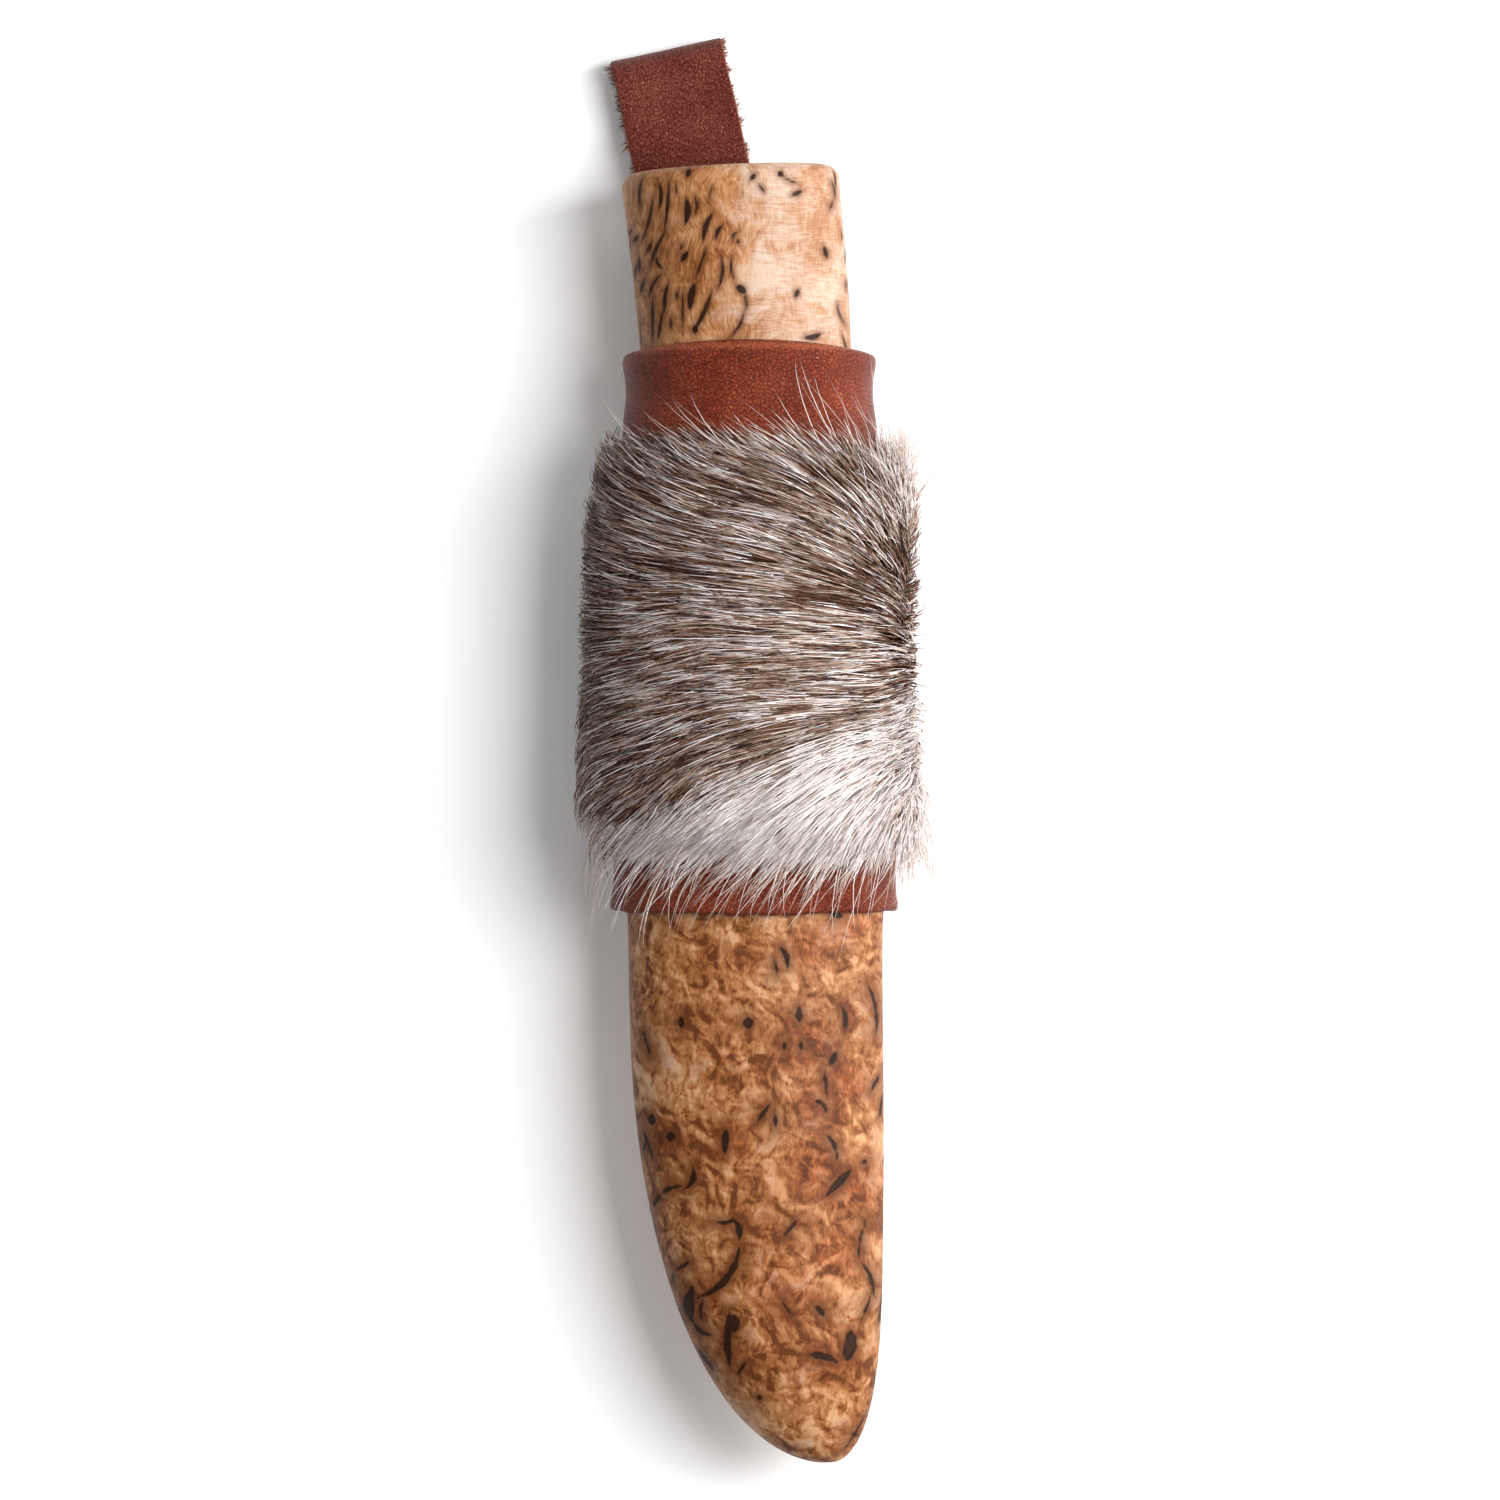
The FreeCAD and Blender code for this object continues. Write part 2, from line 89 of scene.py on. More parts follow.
def add_light():
    world = bpy.data.worlds.new("studio")
    world.use_nodes = True
    background = world.node_tree.nodes["Background"]
    background.inputs["Color"].default_value = (1.0, 1.0, 1.0, 1.0)
    background.inputs["Strength"].default_value = 0.205
    bpy.context.scene.world = world
    add_area("key", (0.36, 0.08, 0.56), (0, 0, 0.02), (0.28, 0.50), 6.2)
    add_area("top", (0.15, 0.6, 0.75), (0, 0.03, 0), (0.6, 0.4), 1.4)
    add_area("side", (0.60, 0.0, 0.17), (0, 0, 0.02), (0.12, 0.50), 2.4)


def add_floor():
    side = 6.0
    mesh = bpy.data.meshes.new("floor")
    half = side / 2
    corners = [(-half, -half, 0), (half, -half, 0), (half, half, 0), (-half, half, 0)]
    mesh.from_pydata(corners, [], [(0, 1, 2, 3)])
    floor = bpy.data.objects.new("floor", mesh)
    bpy.context.scene.collection.objects.link(floor)
    mesh.materials.append(plain_material("floor_white", (0.92, 0.92, 0.92), 0.8, Emission_Strength=0.125))


# ---------------------------------------------------------------- materials

def plain_material(name, colour, roughness, **more):
    """A material of one colour. More sockets are given by their names, with _ for a space."""
    material = bpy.data.materials.new(name)
    material.use_nodes = True
    shader = material.node_tree.nodes["Principled BSDF"]
    shader.inputs["Base Color"].default_value = (*colour, 1.0)
    shader.inputs["Roughness"].default_value = roughness
    for socket, value in more.items():
        shader.inputs[socket.replace("_", " ")].default_value = value
    return material


class Finish:
    """A procedural material. Its places are in mm, and its methods add nodes and return their outputs."""

    def __init__(self, name, roughness, **more):
        self.material = plain_material(name, (0.5, 0.5, 0.5), roughness, **more)
        self.tree = self.material.node_tree
        self.shader = self.tree.nodes["Principled BSDF"]
        self.place = self.stretch(self.add("ShaderNodeTexCoord").outputs["Object"], (1 / MM, 1 / MM, 1 / MM))

    def add(self, kind, **settings):
        node = self.tree.nodes.new(kind)
        for setting, value in settings.items():
            setattr(node, setting, value)
        return node

    def feed(self, socket, value):
        """Link an output to a socket, or set the socket to a number or colour."""
        if isinstance(value, bpy.types.NodeSocket):
            self.tree.links.new(value, socket)
        elif isinstance(value, tuple) and len(value) == 3 and socket.type == "RGBA":
            socket.default_value = (*value, 1.0)
        else:
            socket.default_value = value

    def stretch(self, place, factors):
        node = self.add("ShaderNodeVectorMath", operation="MULTIPLY")
        self.feed(node.inputs[0], place)
        self.feed(node.inputs[1], factors)
        return node.outputs[0]

    def shift(self, place, offset):
        node = self.add("ShaderNodeVectorMath", operation="ADD")
        self.feed(node.inputs[0], place)
        self.feed(node.inputs[1], offset)
        return node.outputs[0]

    def noise(self, place, size, detail=3.0, twist=0.0, rough=0.5, output="Fac"):
        node = self.add("ShaderNodeTexNoise")
        self.feed(node.inputs["Vector"], place)
        settings = {"Scale": 1 / size, "Detail": detail, "Distortion": twist, "Roughness": rough}
        for socket, value in settings.items():
            self.feed(node.inputs[socket], value)
        return node.outputs[output]

    def swirl(self, size, amount):
        """The place, moved about by smooth noise, so that what is drawn on it flows."""
        moved = self.add("ShaderNodeVectorMath", operation="MULTIPLY_ADD")
        self.feed(moved.inputs[0], self.noise(self.place, size, 2.0, output="Color"))
        self.feed(moved.inputs[1], (amount, amount, amount))
        self.feed(moved.inputs[2], self.place)
        return moved.outputs[0]

    def pebbles(self, place, size):
        """0 in the creases between the pebbles of a leather's grain, rising to their tops."""
        node = self.add("ShaderNodeTexVoronoi", feature="DISTANCE_TO_EDGE")
        self.feed(node.inputs["Vector"], place)
        self.feed(node.inputs["Scale"], 1 / size)
        return self.steps(node.outputs["Distance"], 0.0, 0.22)

    def steps(self, value, low, high, start=0.0, end=1.0):
        """A value taken smoothly from start at low to end at high."""
        node = self.add("ShaderNodeMapRange", interpolation_type="SMOOTHSTEP")
        for socket, number in zip(node.inputs, (value, low, high, start, end)):
            self.feed(socket, number)
        return node.outputs["Result"]

    def sum(self, *pairs):
        """Each value times its weight, added up."""
        total = 0.0
        for value, weight in pairs:
            node = self.add("ShaderNodeMath", operation="MULTIPLY_ADD")
            self.feed(node.inputs[0], value)
            self.feed(node.inputs[1], weight)
            self.feed(node.inputs[2], total)
            total = node.outputs[0]
        return total

    def ramp(self, value, *stops):
        node = self.add("ShaderNodeValToRGB")
        elements = node.color_ramp.elements
        while len(elements) < len(stops):
            elements.new(0.5)
        for element, (place, colour) in zip(elements, stops):
            element.position = place
            element.color = (*colour, 1.0)
        self.feed(node.inputs["Fac"], value)
        return node.outputs["Color"]

    def mix(self, share, first, second):
        node = self.add("ShaderNodeMix", data_type="RGBA")
        self.feed(node.inputs["Factor"], share)
        self.feed(node.inputs[6], first)
        self.feed(node.inputs[7], second)
        return node.outputs[2]

    def attribute(self, name):
        return self.add("ShaderNodeAttribute", attribute_name=name).outputs["Fac"]

    def finish(self, colour, height=None, deep=0.1, roughness=None):
        """Use a colour, a relief 'deep' mm deep, and a roughness that varies."""
        self.feed(self.shader.inputs["Base Color"], colour)
        if roughness is not None:
            self.feed(self.shader.inputs["Roughness"], roughness)
        if height is not None:
            bump = self.add("ShaderNodeBump")
            self.feed(bump.inputs["Height"], height)
            self.feed(bump.inputs["Distance"], deep * MM)
            self.feed(self.shader.inputs["Normal"], bump.outputs["Normal"])
        return self.material


def birch_finish(name, shades, fibre_lean, figure, soft):
    """Curly birch: curls with painted sheen and shade, reddish and pale zones, and dark bark marks with a
    halo.

    'figure' is how strong the curls and their painted sheen and shade are, and 'soft' is how far, in mm, the
    edge of a mark wanders.
    """
    dark, brown, tan, light, bright = shades
    make = Finish(name, 0.46, Specular_IOR_Level=0.13)
    flow = make.swirl(9.0, 7.0)
    eddies = make.swirl(3.4, 4.0)
    beside = make.shift(eddies, (0.55, 0.35, 0.3))
    mottle = make.noise(flow, 4.2, 2.0, 0.8)
    mottle_beside = make.noise(make.shift(flow, (0.9, 0.6, 0.4)), 4.2, 2.0, 0.8)
    curls = make.noise(eddies, 2.1, 1.0, 0.7)
    curls_beside = make.noise(beside, 2.1, 1.0, 0.7)
    patches = make.noise(make.place, 11.0, 2.0)
    fibre = make.noise(make.stretch(flow, (2.6, fibre_lean, 2.6)), 1.0, 2.0, 0.5)
    fine = make.noise(make.stretch(make.place, (5.0, 1.0, 5.0)), 1.0, 2.0)
    # Curls and mottle less copies shifted beside them: each curl is lit on one side and dark on the other, a
    # painted sheen and shade.
    curl_sheen_and_shade = make.sum((curls, 0.50), (curls_beside, -0.50), (mottle, 0.65), (mottle_beside, -0.65))
    tone = make.sum(
        (curl_sheen_and_shade, figure), (mottle, 0.45 * figure), (patches, 0.50),
        (fibre, 0.75 - 0.45 * figure), (fine, 0.24), (1.0, -0.245))
    colour = make.ramp(tone, (0.30, brown), (0.43, tan), (0.57, light), (0.72, bright))
    reddened = make.ramp(
        tone, (0.32, (0.085, 0.020, 0.005)), (0.50, (0.23, 0.060, 0.015)), (0.70, (0.45, 0.17, 0.065)))
    warm = make.sum((make.attribute("warm"), 1.1), (mottle, 1.3), (curls, 0.9), (1.0, -1.15))
    colour = make.mix(make.steps(warm, 0.0, 1.0, 0.0, 0.95), colour, reddened)
    hatch = make.noise(make.stretch(make.swirl(12.0, 3.0), (0.22, 3.4, 1.0)), 1.0, 3.0, 0.2, 0.6)
    weave = make.sum((hatch, 0.60), (fibre, 0.30), (patches, 0.60), (mottle, 0.45), (1.0, -0.475))
    cream = make.ramp(
        weave, (0.36, (0.36, 0.175, 0.090)), (0.50, (0.46, 0.290, 0.195)), (0.66, (0.56, 0.415, 0.325)))
    pale = make.sum((make.attribute("pale"), 1.0), (mottle, 1.8), (1.0, -0.9))
    colour = make.mix(make.steps(pale, 0.05, 1.0, 0.0, 0.92), colour, cream)
    flecks = make.noise(make.stretch(flow, (1.3, 0.6, 1.3)), 1.0, 2.0, 0.8)
    colour = make.mix(make.steps(flecks, 0.62, 0.80, 0.0, 0.5 * figure), colour, (0.10, 0.032, 0.010))
    near = make.sum((make.attribute("mark"), 1.0), (mottle, -6.0), (curls, -3.0), (1.0, 4.5))
    colour = make.mix(make.steps(near, -0.5, 3.0, 2.8 * soft, 0.0), colour, brown)
    ragged = make.noise(make.stretch(eddies, (0.8, 0.5, 0.8)), 1.0, 2.0)
    edge = make.sum(
        (make.attribute("mark"), 1.0), (ragged, 3.0 * soft), (curls, 2.0 * soft), (1.0, 0.04 - 2.5 * soft))
    halo = make.steps(edge, -0.1, 0.9 + 3 * soft, 0.62, 0.0)
    colour = make.mix(halo, colour, (0.13, 0.038, 0.010))
    core = make.steps(edge, -0.16, 0.19, 0.97, 0.0)
    ink = make.mix(make.steps(fibre, 0.40, 0.62, 0.0, 0.45), dark, (0.045, 0.012, 0.004))
    ink = make.mix(make.steps(edge, -0.8, -0.3, 0.25, 0.0), ink, (0.060, 0.018, 0.006))
    colour = make.mix(core, colour, ink)
    relief = make.sum((fibre, 0.35), (curls, 0.25), (fine, 0.15), (core, -0.4))
    return make.finish(colour, relief, 0.08, make.sum((tone, -0.12), (core, 0.10), (1.0, 0.52)))


def leather_finish(name, shades, grain, pull, deep, roughness, cloudy, speckled):
    """Leather: pebbles 'grain' mm across in soft clouds, painted shade in their creases, rubbed places with a
    painted highlight, and raw cut edges.

    'pull' makes the pebbles closer along X, Y and Z, and 'deep' is their relief in mm. 'cloudy' and
    'speckled' are how strong the clouds and the specks are.
    """
    dark_and_crease_shade, body, worn_and_highlit, cut = shades
    make = Finish(name, roughness, Specular_IOR_Level=0.13)
    place = make.stretch(make.swirl(2.0, 0.7), pull)
    pebbles = make.pebbles(place, grain)
    fine = make.pebbles(place, grain * 0.45)
    patches = make.noise(make.place, 7.0, 3.0)
    specks = make.noise(place, grain * 0.8, 2.0)
    tone = make.sum(
        (pebbles, 0.30), (fine, 0.12), (patches, cloudy), (specks, speckled),
        (1.0, 0.115 - speckled / 2 - cloudy / 2))
    # The ramp runs from painted shade in the pebbles' creases and the dark clouds, through the body colour,
    # to the lightest pebble tops and specks.
    colour = make.ramp(tone, (0.10, dark_and_crease_shade), (0.42, body), (0.80, worn_and_highlit))
    # Lighter where the leather is rubbed and where a painted highlight runs along the sleeve's rolled rim,
    # and at the brightest specks.
    rubbed_and_highlit = make.sum((make.attribute("worn_and_highlit"), 1.0), (specks, 1.0), (1.0, -0.5))
    colour = make.mix(make.steps(rubbed_and_highlit, 0.2, 1.0, 0.0, 0.8), colour, worn_and_highlit)
    edge = make.sum((make.attribute("cut"), 1.0), (specks, 0.8), (1.0, -0.4))
    colour = make.mix(make.steps(edge, 0.15, 0.85), colour, cut)
    relief = make.sum((pebbles, 0.7), (fine, 0.3), (patches, 0.3), (specks, 0.5))
    uneven = make.sum((pebbles, -0.12), (patches, -0.20), (1.0, roughness + 0.16))
    return make.finish(colour, relief, deep, uneven)


def hide_finish():
    """The flesh side and cut edge of the hide: pale, brown in patches, with a nap."""
    make = Finish("hide_nap", 0.85, Sheen_Weight=0.3, Sheen_Roughness=0.5)
    patches = make.noise(make.place, 9.0, 4.0, 0.6)
    nap = make.noise(make.place, 0.45, 3.0)
    tone = make.sum((patches, 0.7), (nap, 0.4), (1.0, -0.05))
    colour = make.ramp(
        tone, (0.32, (0.07, 0.035, 0.025)), (0.52, (0.20, 0.12, 0.085)), (0.72, (0.48, 0.36, 0.29)))
    return make.finish(colour, nap, 0.15)


def thread_finish():
    """Waxed linen thread, twisted."""
    make = Finish("waxed_linen", 0.55)
    wave = make.add("ShaderNodeTexWave", bands_direction="DIAGONAL")
    make.feed(wave.inputs["Vector"], make.place)
    make.feed(wave.inputs["Scale"], 0.55)
    make.feed(wave.inputs["Distortion"], 0.6)
    fuzz = make.noise(make.place, 0.2, 2.0)
    tone = make.sum((wave.outputs["Fac"], 0.6), (fuzz, 0.5), (1.0, -0.05))
    colour = make.ramp(tone, (0.2, (0.16, 0.09, 0.05)), (0.6, (0.42, 0.29, 0.18)), (0.9, (0.62, 0.48, 0.34)))
    return make.finish(colour, tone, 0.12)


def metal_finish(name, shades, grain, roughness, stained):
    """Metal with the fine lines of its last polish: 'grain' gives their closeness along X, Y and Z."""
    make = Finish(name, roughness, Metallic=1.0)
    lines = make.noise(make.stretch(make.place, grain), 1.0, 4.0)
    stain = make.noise(make.place, 5.0, 3.0)
    tone = make.sum((lines, 0.6), (stain, stained), (1.0, 0.22 - stained / 2))
    colour = make.ramp(tone, (0.35, shades[0]), (0.65, shades[1]))
    uneven = make.sum((lines, 0.16), (stain, 0.4 * stained), (1.0, roughness - 0.12))
    return make.finish(colour, lines, 0.008, uneven)


def bark_finish():
    """Stacked birch bark, dark, in thin layers across the handle."""
    make = Finish("bark_layers", 0.7)
    layers = make.noise(make.stretch(make.place, (0.25, 7.0, 0.25)), 1.0, 3.0)
    pores = make.noise(make.stretch(make.place, (0.8, 3.0, 0.8)), 1.0, 3.0)
    tone = make.sum((layers, 0.65), (pores, 0.4))
    colour = make.ramp(
        tone, (0.36, (0.05, 0.022, 0.012)), (0.52, (0.17, 0.075, 0.035)), (0.68, (0.36, 0.20, 0.11)))
    return make.finish(colour, tone, 0.1)


# ---------------------------------------------------------------- mesh helpers

def read_points(mesh):
    """The mesh's points, in mm."""
    points = np.empty(len(mesh.vertices) * 3)
    mesh.vertices.foreach_get("co", points)
    return points.reshape(-1, 3) / MM


def write_points(mesh, points):
    mesh.vertices.foreach_set("co", (points * MM).ravel())
    mesh.update()


def read_normals(mesh):
    normals = np.empty(len(mesh.vertices) * 3)
    mesh.vertex_normals.foreach_get("vector", normals)
    return normals.reshape(-1, 3)


def write_attribute(mesh, name, values):
    mesh.attributes.new(name, "FLOAT", "POINT").data.foreach_set("value", values.astype(np.float32))


def add_piece(name, mesh, body, materials=(), stands_for=()):
    """A piece from a mesh, which rides on a body and may stand for CAD nodes."""
    piece = bpy.data.objects.new(name, mesh)
    bpy.context.scene.collection.objects.link(piece)
    for material in materials:
        mesh.materials.append(material)
    mesh.polygons.foreach_set("use_smooth", np.ones(len(mesh.polygons), bool))
    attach(piece, body)
    if stands_for:
        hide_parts(*stands_for)
    return piece


def dense_mesh(node, cell):
    """A CAD node's surface in small even faces of 'cell' mm, with its sharp edges eased."""
    mesh = NODES[node].data.copy()
    mesh.materials.clear()
    mesh.transform(Matrix.Scale(1 / MM, 4))
    holder = bpy.data.objects.new(node + "_dense", mesh)
    bpy.context.scene.collection.objects.link(holder)
    holder.modifiers.new("weld", "WELD").merge_threshold = 0.001
    remesh = holder.modifiers.new("remesh", "REMESH")
    remesh.mode = "VOXEL"
    remesh.voxel_size = cell
    ease = holder.modifiers.new("ease", "SMOOTH")
    ease.factor = 0.5
    ease.iterations = 3
    graph = bpy.context.evaluated_depsgraph_get()
    dense = bpy.data.meshes.new_from_object(holder.evaluated_get(graph))
    bpy.data.objects.remove(holder)
    dense.transform(Matrix.Scale(MM, 4))
    dense.name = node + "_dense"
    return dense


def smooth_step(low, high, values):
    share = np.clip((values - low) / (high - low), 0, 1)
    return share * share * (3 - 2 * share)


def smooth_noise(generator, around, along, pitch):
    """Smooth random values in -1..1 over a surface: a grid of random numbers, blended between."""
    size = 64
    grid = generator.uniform(-1, 1, (size, size))
    x = around / pitch + size / 2
    y = along / pitch + size / 2
    column = np.floor(x).astype(int)
    row = np.floor(y).astype(int)
    across = smooth_step(0, 1, x - column)
    up = smooth_step(0, 1, y - row)
    total = 0
    for right in (0, 1):
        for above in (0, 1):
            weight = (across if right else 1 - across) * (up if above else 1 - up)
            total = total + weight * grid[(row + above) % size, (column + right) % size]
    return total


# ---------------------------------------------------------------- figure of the wood

# Size of the dense wood's faces, in mm.
WOOD_CELL = 0.36
# Each mark, in mm and degrees: across, along, length, lean towards +X, sideways bend, width.
SHEATH_MARKS = (
    # The long S that ends in two hooks, low on the left, and the shorter one beside it.
    (-4.9, -72.7, 3.6, 80, 0.3, 0.7), (-3.5, -74, 4, -15, 0.6, 1.0), (-6.5, -80.5, 12, 39, 2.0, 1.1),
    (-10, -86, 6, 0, -0.6, 1.7), (-8.5, -89.5, 3.5, -55, -0.6, 0.9), (-8.3, -86.5, 4, 5, -0.5, 0.6),
    (-4.2, -91, 9.5, 0, -0.5, 1.2), (-3.7, -88.5, 3, 0, 0, 1.8), (-2.5, -95.5, 2.5, 30, 0, 0.8),
    # The black knot by the toe, the wave beside it, and the ring and thin line above it.
    (14, -92, 5, 8, 0, 2.2), (9.7, -94, 5.6, -75, 0.5, 1.2), (17, -73.4, 2, 0, -0.7, 0.4),
    (18.6, -73.4, 2, 0, 0.7, 0.4), (15.8, -76.5, 5, 8, -0.3, 0.6), (16.7, -82, 6, -20, 0.6, 0.8),
    (16.5, -86, 5, 20, 0.3, 0.6),
    # The reddish diagonal.
    (12.3, -67, 6, 45, 0, 1.3), (4.8, -74, 3.5, 40, 0, 0.7), (9.5, -55.5, 3, -40, 0.6, 0.8),
    (11, -61.5, 5, -25, 0.6, 0.7),
    # The V above the middle and the marks along the left edge.
    (0.8, -56.3, 4, 35, 0, 0.7), (2.6, -57, 3, -5, 0, 0.6), (-5, -60.5, 4, 3, 0, 1.2),
    (-13.4, -60, 1.6, 0, 0, 1.5), (-16.2, -57.5, 2, 0, 0, 1.2), (-16.8, -61.5, 4, -20, 0, 0.6),
    (-10.6, -66.3, 4, 20, 0.6, 1.0), (-13.3, -68.3, 4, 65, -0.3, 0.7), (-15.5, -70, 2.5, 30, 0, 0.7),
    (-11.6, -80, 3.5, 55, 0, 0.6), (-13, -82, 2, 0, 0, 0.5), (-8, -94.5, 4, -35, 0, 0.8),
    (-12, -87.5, 4, -30, 0, 0.5),
    # Small ones.
    (9.4, -86.5, 2.6, -40, 0, 0.9), (4.5, -86.3, 3, -40, 0, 0.5), (16.3, -64, 1, 60, 0, 0.9),
    (0.2, -100, 1, 0, 0, 0.9), (14.7, -106, 1.8, -70, 0, 0.6), (3.9, -32.5, 3.6, -20, 0.4, 1.0),
    (2.7, -34, 3, -10, 0, 0.6), (-1.5, -42.5, 2, 0, 0, 1.6), (-11.7, -42.5, 2, 0, 0, 0.9),
    (6.2, -41.3, 2.6, 0, 0, 1.2), (6.5, -46, 1.6, 0, 0, 0.9), (12.8, -42, 5, -8, 0.5, 0.8),
    (17.3, -41, 9, -8, 0.8, 0.6), (11.4, -48, 2.6, 25, 0, 1.0), (10.3, -51.5, 5, -5, 0, 0.6),
    (4, -46, 1.5, 0, 0, 0.7), (11.8, -26, 2.4, -70, 0, 1.2), (18, -52, 3, 30, 0, 0.6),
    (-17, -46, 4, -15, 0, 0.6),
)
HANDLE_MARKS = (
    # The drawn-out flames of the left half, from its edge inwards.
    (-19.6, 78.5, 1, 40, 0, 0.5), (-18.7, 77.3, 1.6, 40, 0, 0.7), (-18.2, 73.2, 2.4, 0, 0, 0.6),
    (-17.7, 70, 2.6, 20, 0, 0.6), (-17.8, 84.3, 5, 5, -0.3, 0.5), (-17, 80, 7.5, 15, 0.4, 0.5),
    (-16.6, 75.7, 2, 25, 0, 0.7), (-16.1, 65, 7, 0, 0, 0.6), (-15.6, 70, 4, 30, -0.4, 0.6),
    (-15.3, 83.5, 5, 0, 0.5, 0.7), (-14, 82, 9, 5, 0.2, 0.6), (-15.2, 75.5, 6.5, 25, -0.3, 0.6),
    (-14.9, 73.3, 2.5, -30, -0.4, 0.6), (-13.9, 68, 5, 8, -0.3, 0.7), (-14.9, 64, 5, 10, 0, 0.6),
    (-12.5, 84.5, 2, 0, 0, 0.3), (-12.4, 68.2, 1.6, 0, 0, 0.5), (-13.3, 64, 2, 0, 0, 0.5),
    (-11.5, 66, 6.5, 0, 0, 0.5), (-11.1, 81, 4.4, 2, 0.4, 1.1), (-9.7, 81.8, 3.2, 0, 0.4, 0.6),
    (-10.6, 86.8, 1.6, 20, 0, 0.9), (-11.7, 75.5, 1.2, 25, 0, 0.4), (-11.2, 74.1, 2, 35, 0, 0.9),
    (-7.3, 83.5, 2.6, 12, 0, 0.3), (-7.6, 78.4, 4.8, 18, -0.4, 0.9), (-5.8, 77.6, 2.8, 25, -0.4, 0.7),
    (-3.4, 77, 2, 30, -0.4, 0.5), (-3.1, 76.2, 0.8, 0, 0, 0.6), (-8.7, 73, 5.5, 20, 0, 0.5),
    (-10, 68, 4.4, 10, -0.2, 1.2), (-6.1, 71.7, 6, 5, 0.7, 0.6), (-8.5, 65.7, 7, 25, 0.3, 0.8),
    (-9.6, 63, 1.5, 0, 0, 1.0), (-3.7, 72.2, 4.4, -5, -0.4, 0.5), (-2.6, 69, 2, -50, 0, 1.2),
    (-2.1, 67, 3, -5, 0.3, 0.5), (-3.3, 63.6, 5, 30, 0.4, 0.5),
    # The few eyes of the pale half.
    (5.9, 68.5, 1.5, 20, 0, 0.8), (5.9, 83.8, 2, 65, 0, 0.8), (3.4, 86.7, 1, -70, 0, 1.0),
    (4.8, 85.9, 3, -65, -0.2, 0.4), (-0.8, 86.1, 1.4, 40, 0, 0.8), (0.5, 84.4, 1.6, -40, 0, 0.5),
    (11.4, 84.8, 3, -10, 0.3, 0.4), (11.2, 82.3, 1.5, 20, 0, 0.4), (10.3, 75, 2, -15, 0, 0.8),
    (8.3, 62.2, 3, 75, 0.3, 0.9), (12.7, 65.8, 3.5, -20, -0.3, 0.4), (13.5, 70.4, 1.5, 0, 0, 0.3),
)
# Reddish zones of the sheath: across, along, reach.
WARM_ZONES = (
    (8, -31, 4), (7, -46, 5), (10, -55, 5), (8, -65, 6), (13, -67, 6), (12, -78, 5), (14, -52, 4),
    (-4, -61, 3), (14, -27, 4), (-8, -84, 3), (11, -95, 4), (-14, -60, 3), (5, -83, 6),
)


def mark_distance(across, along, marks):
    """Distance in mm from each point to the nearest mark's edge, below 0 inside a mark."""
    nearest = np.full(len(across), 50.0)
    for mark_across, mark_along, length, lean, bend, width in marks:
        angle = math.radians(lean)
        right = across - mark_across
        up = along - mark_along
        share = np.clip((right * math.sin(angle) + up * math.cos(angle)) / (length / 2), -1, 1)
        swell = 1 - share ** 2
        beyond = right * math.sin(angle) + up * math.cos(angle) - share * length / 2
        aside = right * math.cos(angle) - up * math.sin(angle) - bend * swell
        nearest = np.minimum(nearest, np.hypot(aside, beyond) - width / 2 * swell ** 0.85)
    return nearest


def scattered_marks(generator, count, reach, run, lean):
    """Marks for the sides and back, spread over 'reach' mm round from the front's middle each way."""
    marks = []
    for _ in range(count):
        side = generator.choice((-1, 1))
        marks.append((
            side * generator.uniform(*reach),
            generator.uniform(*run),
            generator.uniform(1.5, 6.5),
            lean + generator.normal(0, 24),
            generator.normal(0, 0.5),
            generator.uniform(0.4, 1.3),
        ))
    return marks


def wood_mesh(node, front_marks, side_count, seed, pale_from=None):
    """A dense copy of a wooden node, with its marks and its reddish and pale zones stored on its points.

    The front has the marks that are given, and the sides and back have 'side_count' scattered ones.
    """
    mesh = dense_mesh(node, WOOD_CELL)
    points = read_points(mesh)
    low, high = (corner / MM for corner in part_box(node))
    across, along = points[:, 0], points[:, 1]
    above = points[:, 2] - mid_height()
    middle = (low.x + high.x) / 2
    wide = (high.x - low.x) / 2
    deep = max(high.z - mid_height(), mid_height() - low.z)
    turn = np.arctan2((across - middle) / wide, above / deep)
    radius = (wide + deep) / 2
    generator = np.random.default_rng(seed)
    marks = scattered_marks(generator, side_count, (1.25 * radius, math.pi * radius), (low.y, high.y), 12)
    front = mark_distance(across, along, front_marks)
    sides = mark_distance(turn * radius, along, marks)
    write_attribute(mesh, "mark", np.where(above > 0, np.minimum(front, sides), sides))
    warm = np.zeros(len(points))
    for zone_across, zone_along, reach in WARM_ZONES:
        away = np.hypot(across - zone_across, along - zone_along) / reach
        warm = np.maximum(warm, np.exp(-away ** 2))
    write_attribute(mesh, "warm", warm)
    if pale_from is None:
        pale = np.zeros(len(points))
    else:
        pale = smooth_step(pale_from - 9, pale_from + 5, across)
    write_attribute(mesh, "pale", pale)
    return mesh


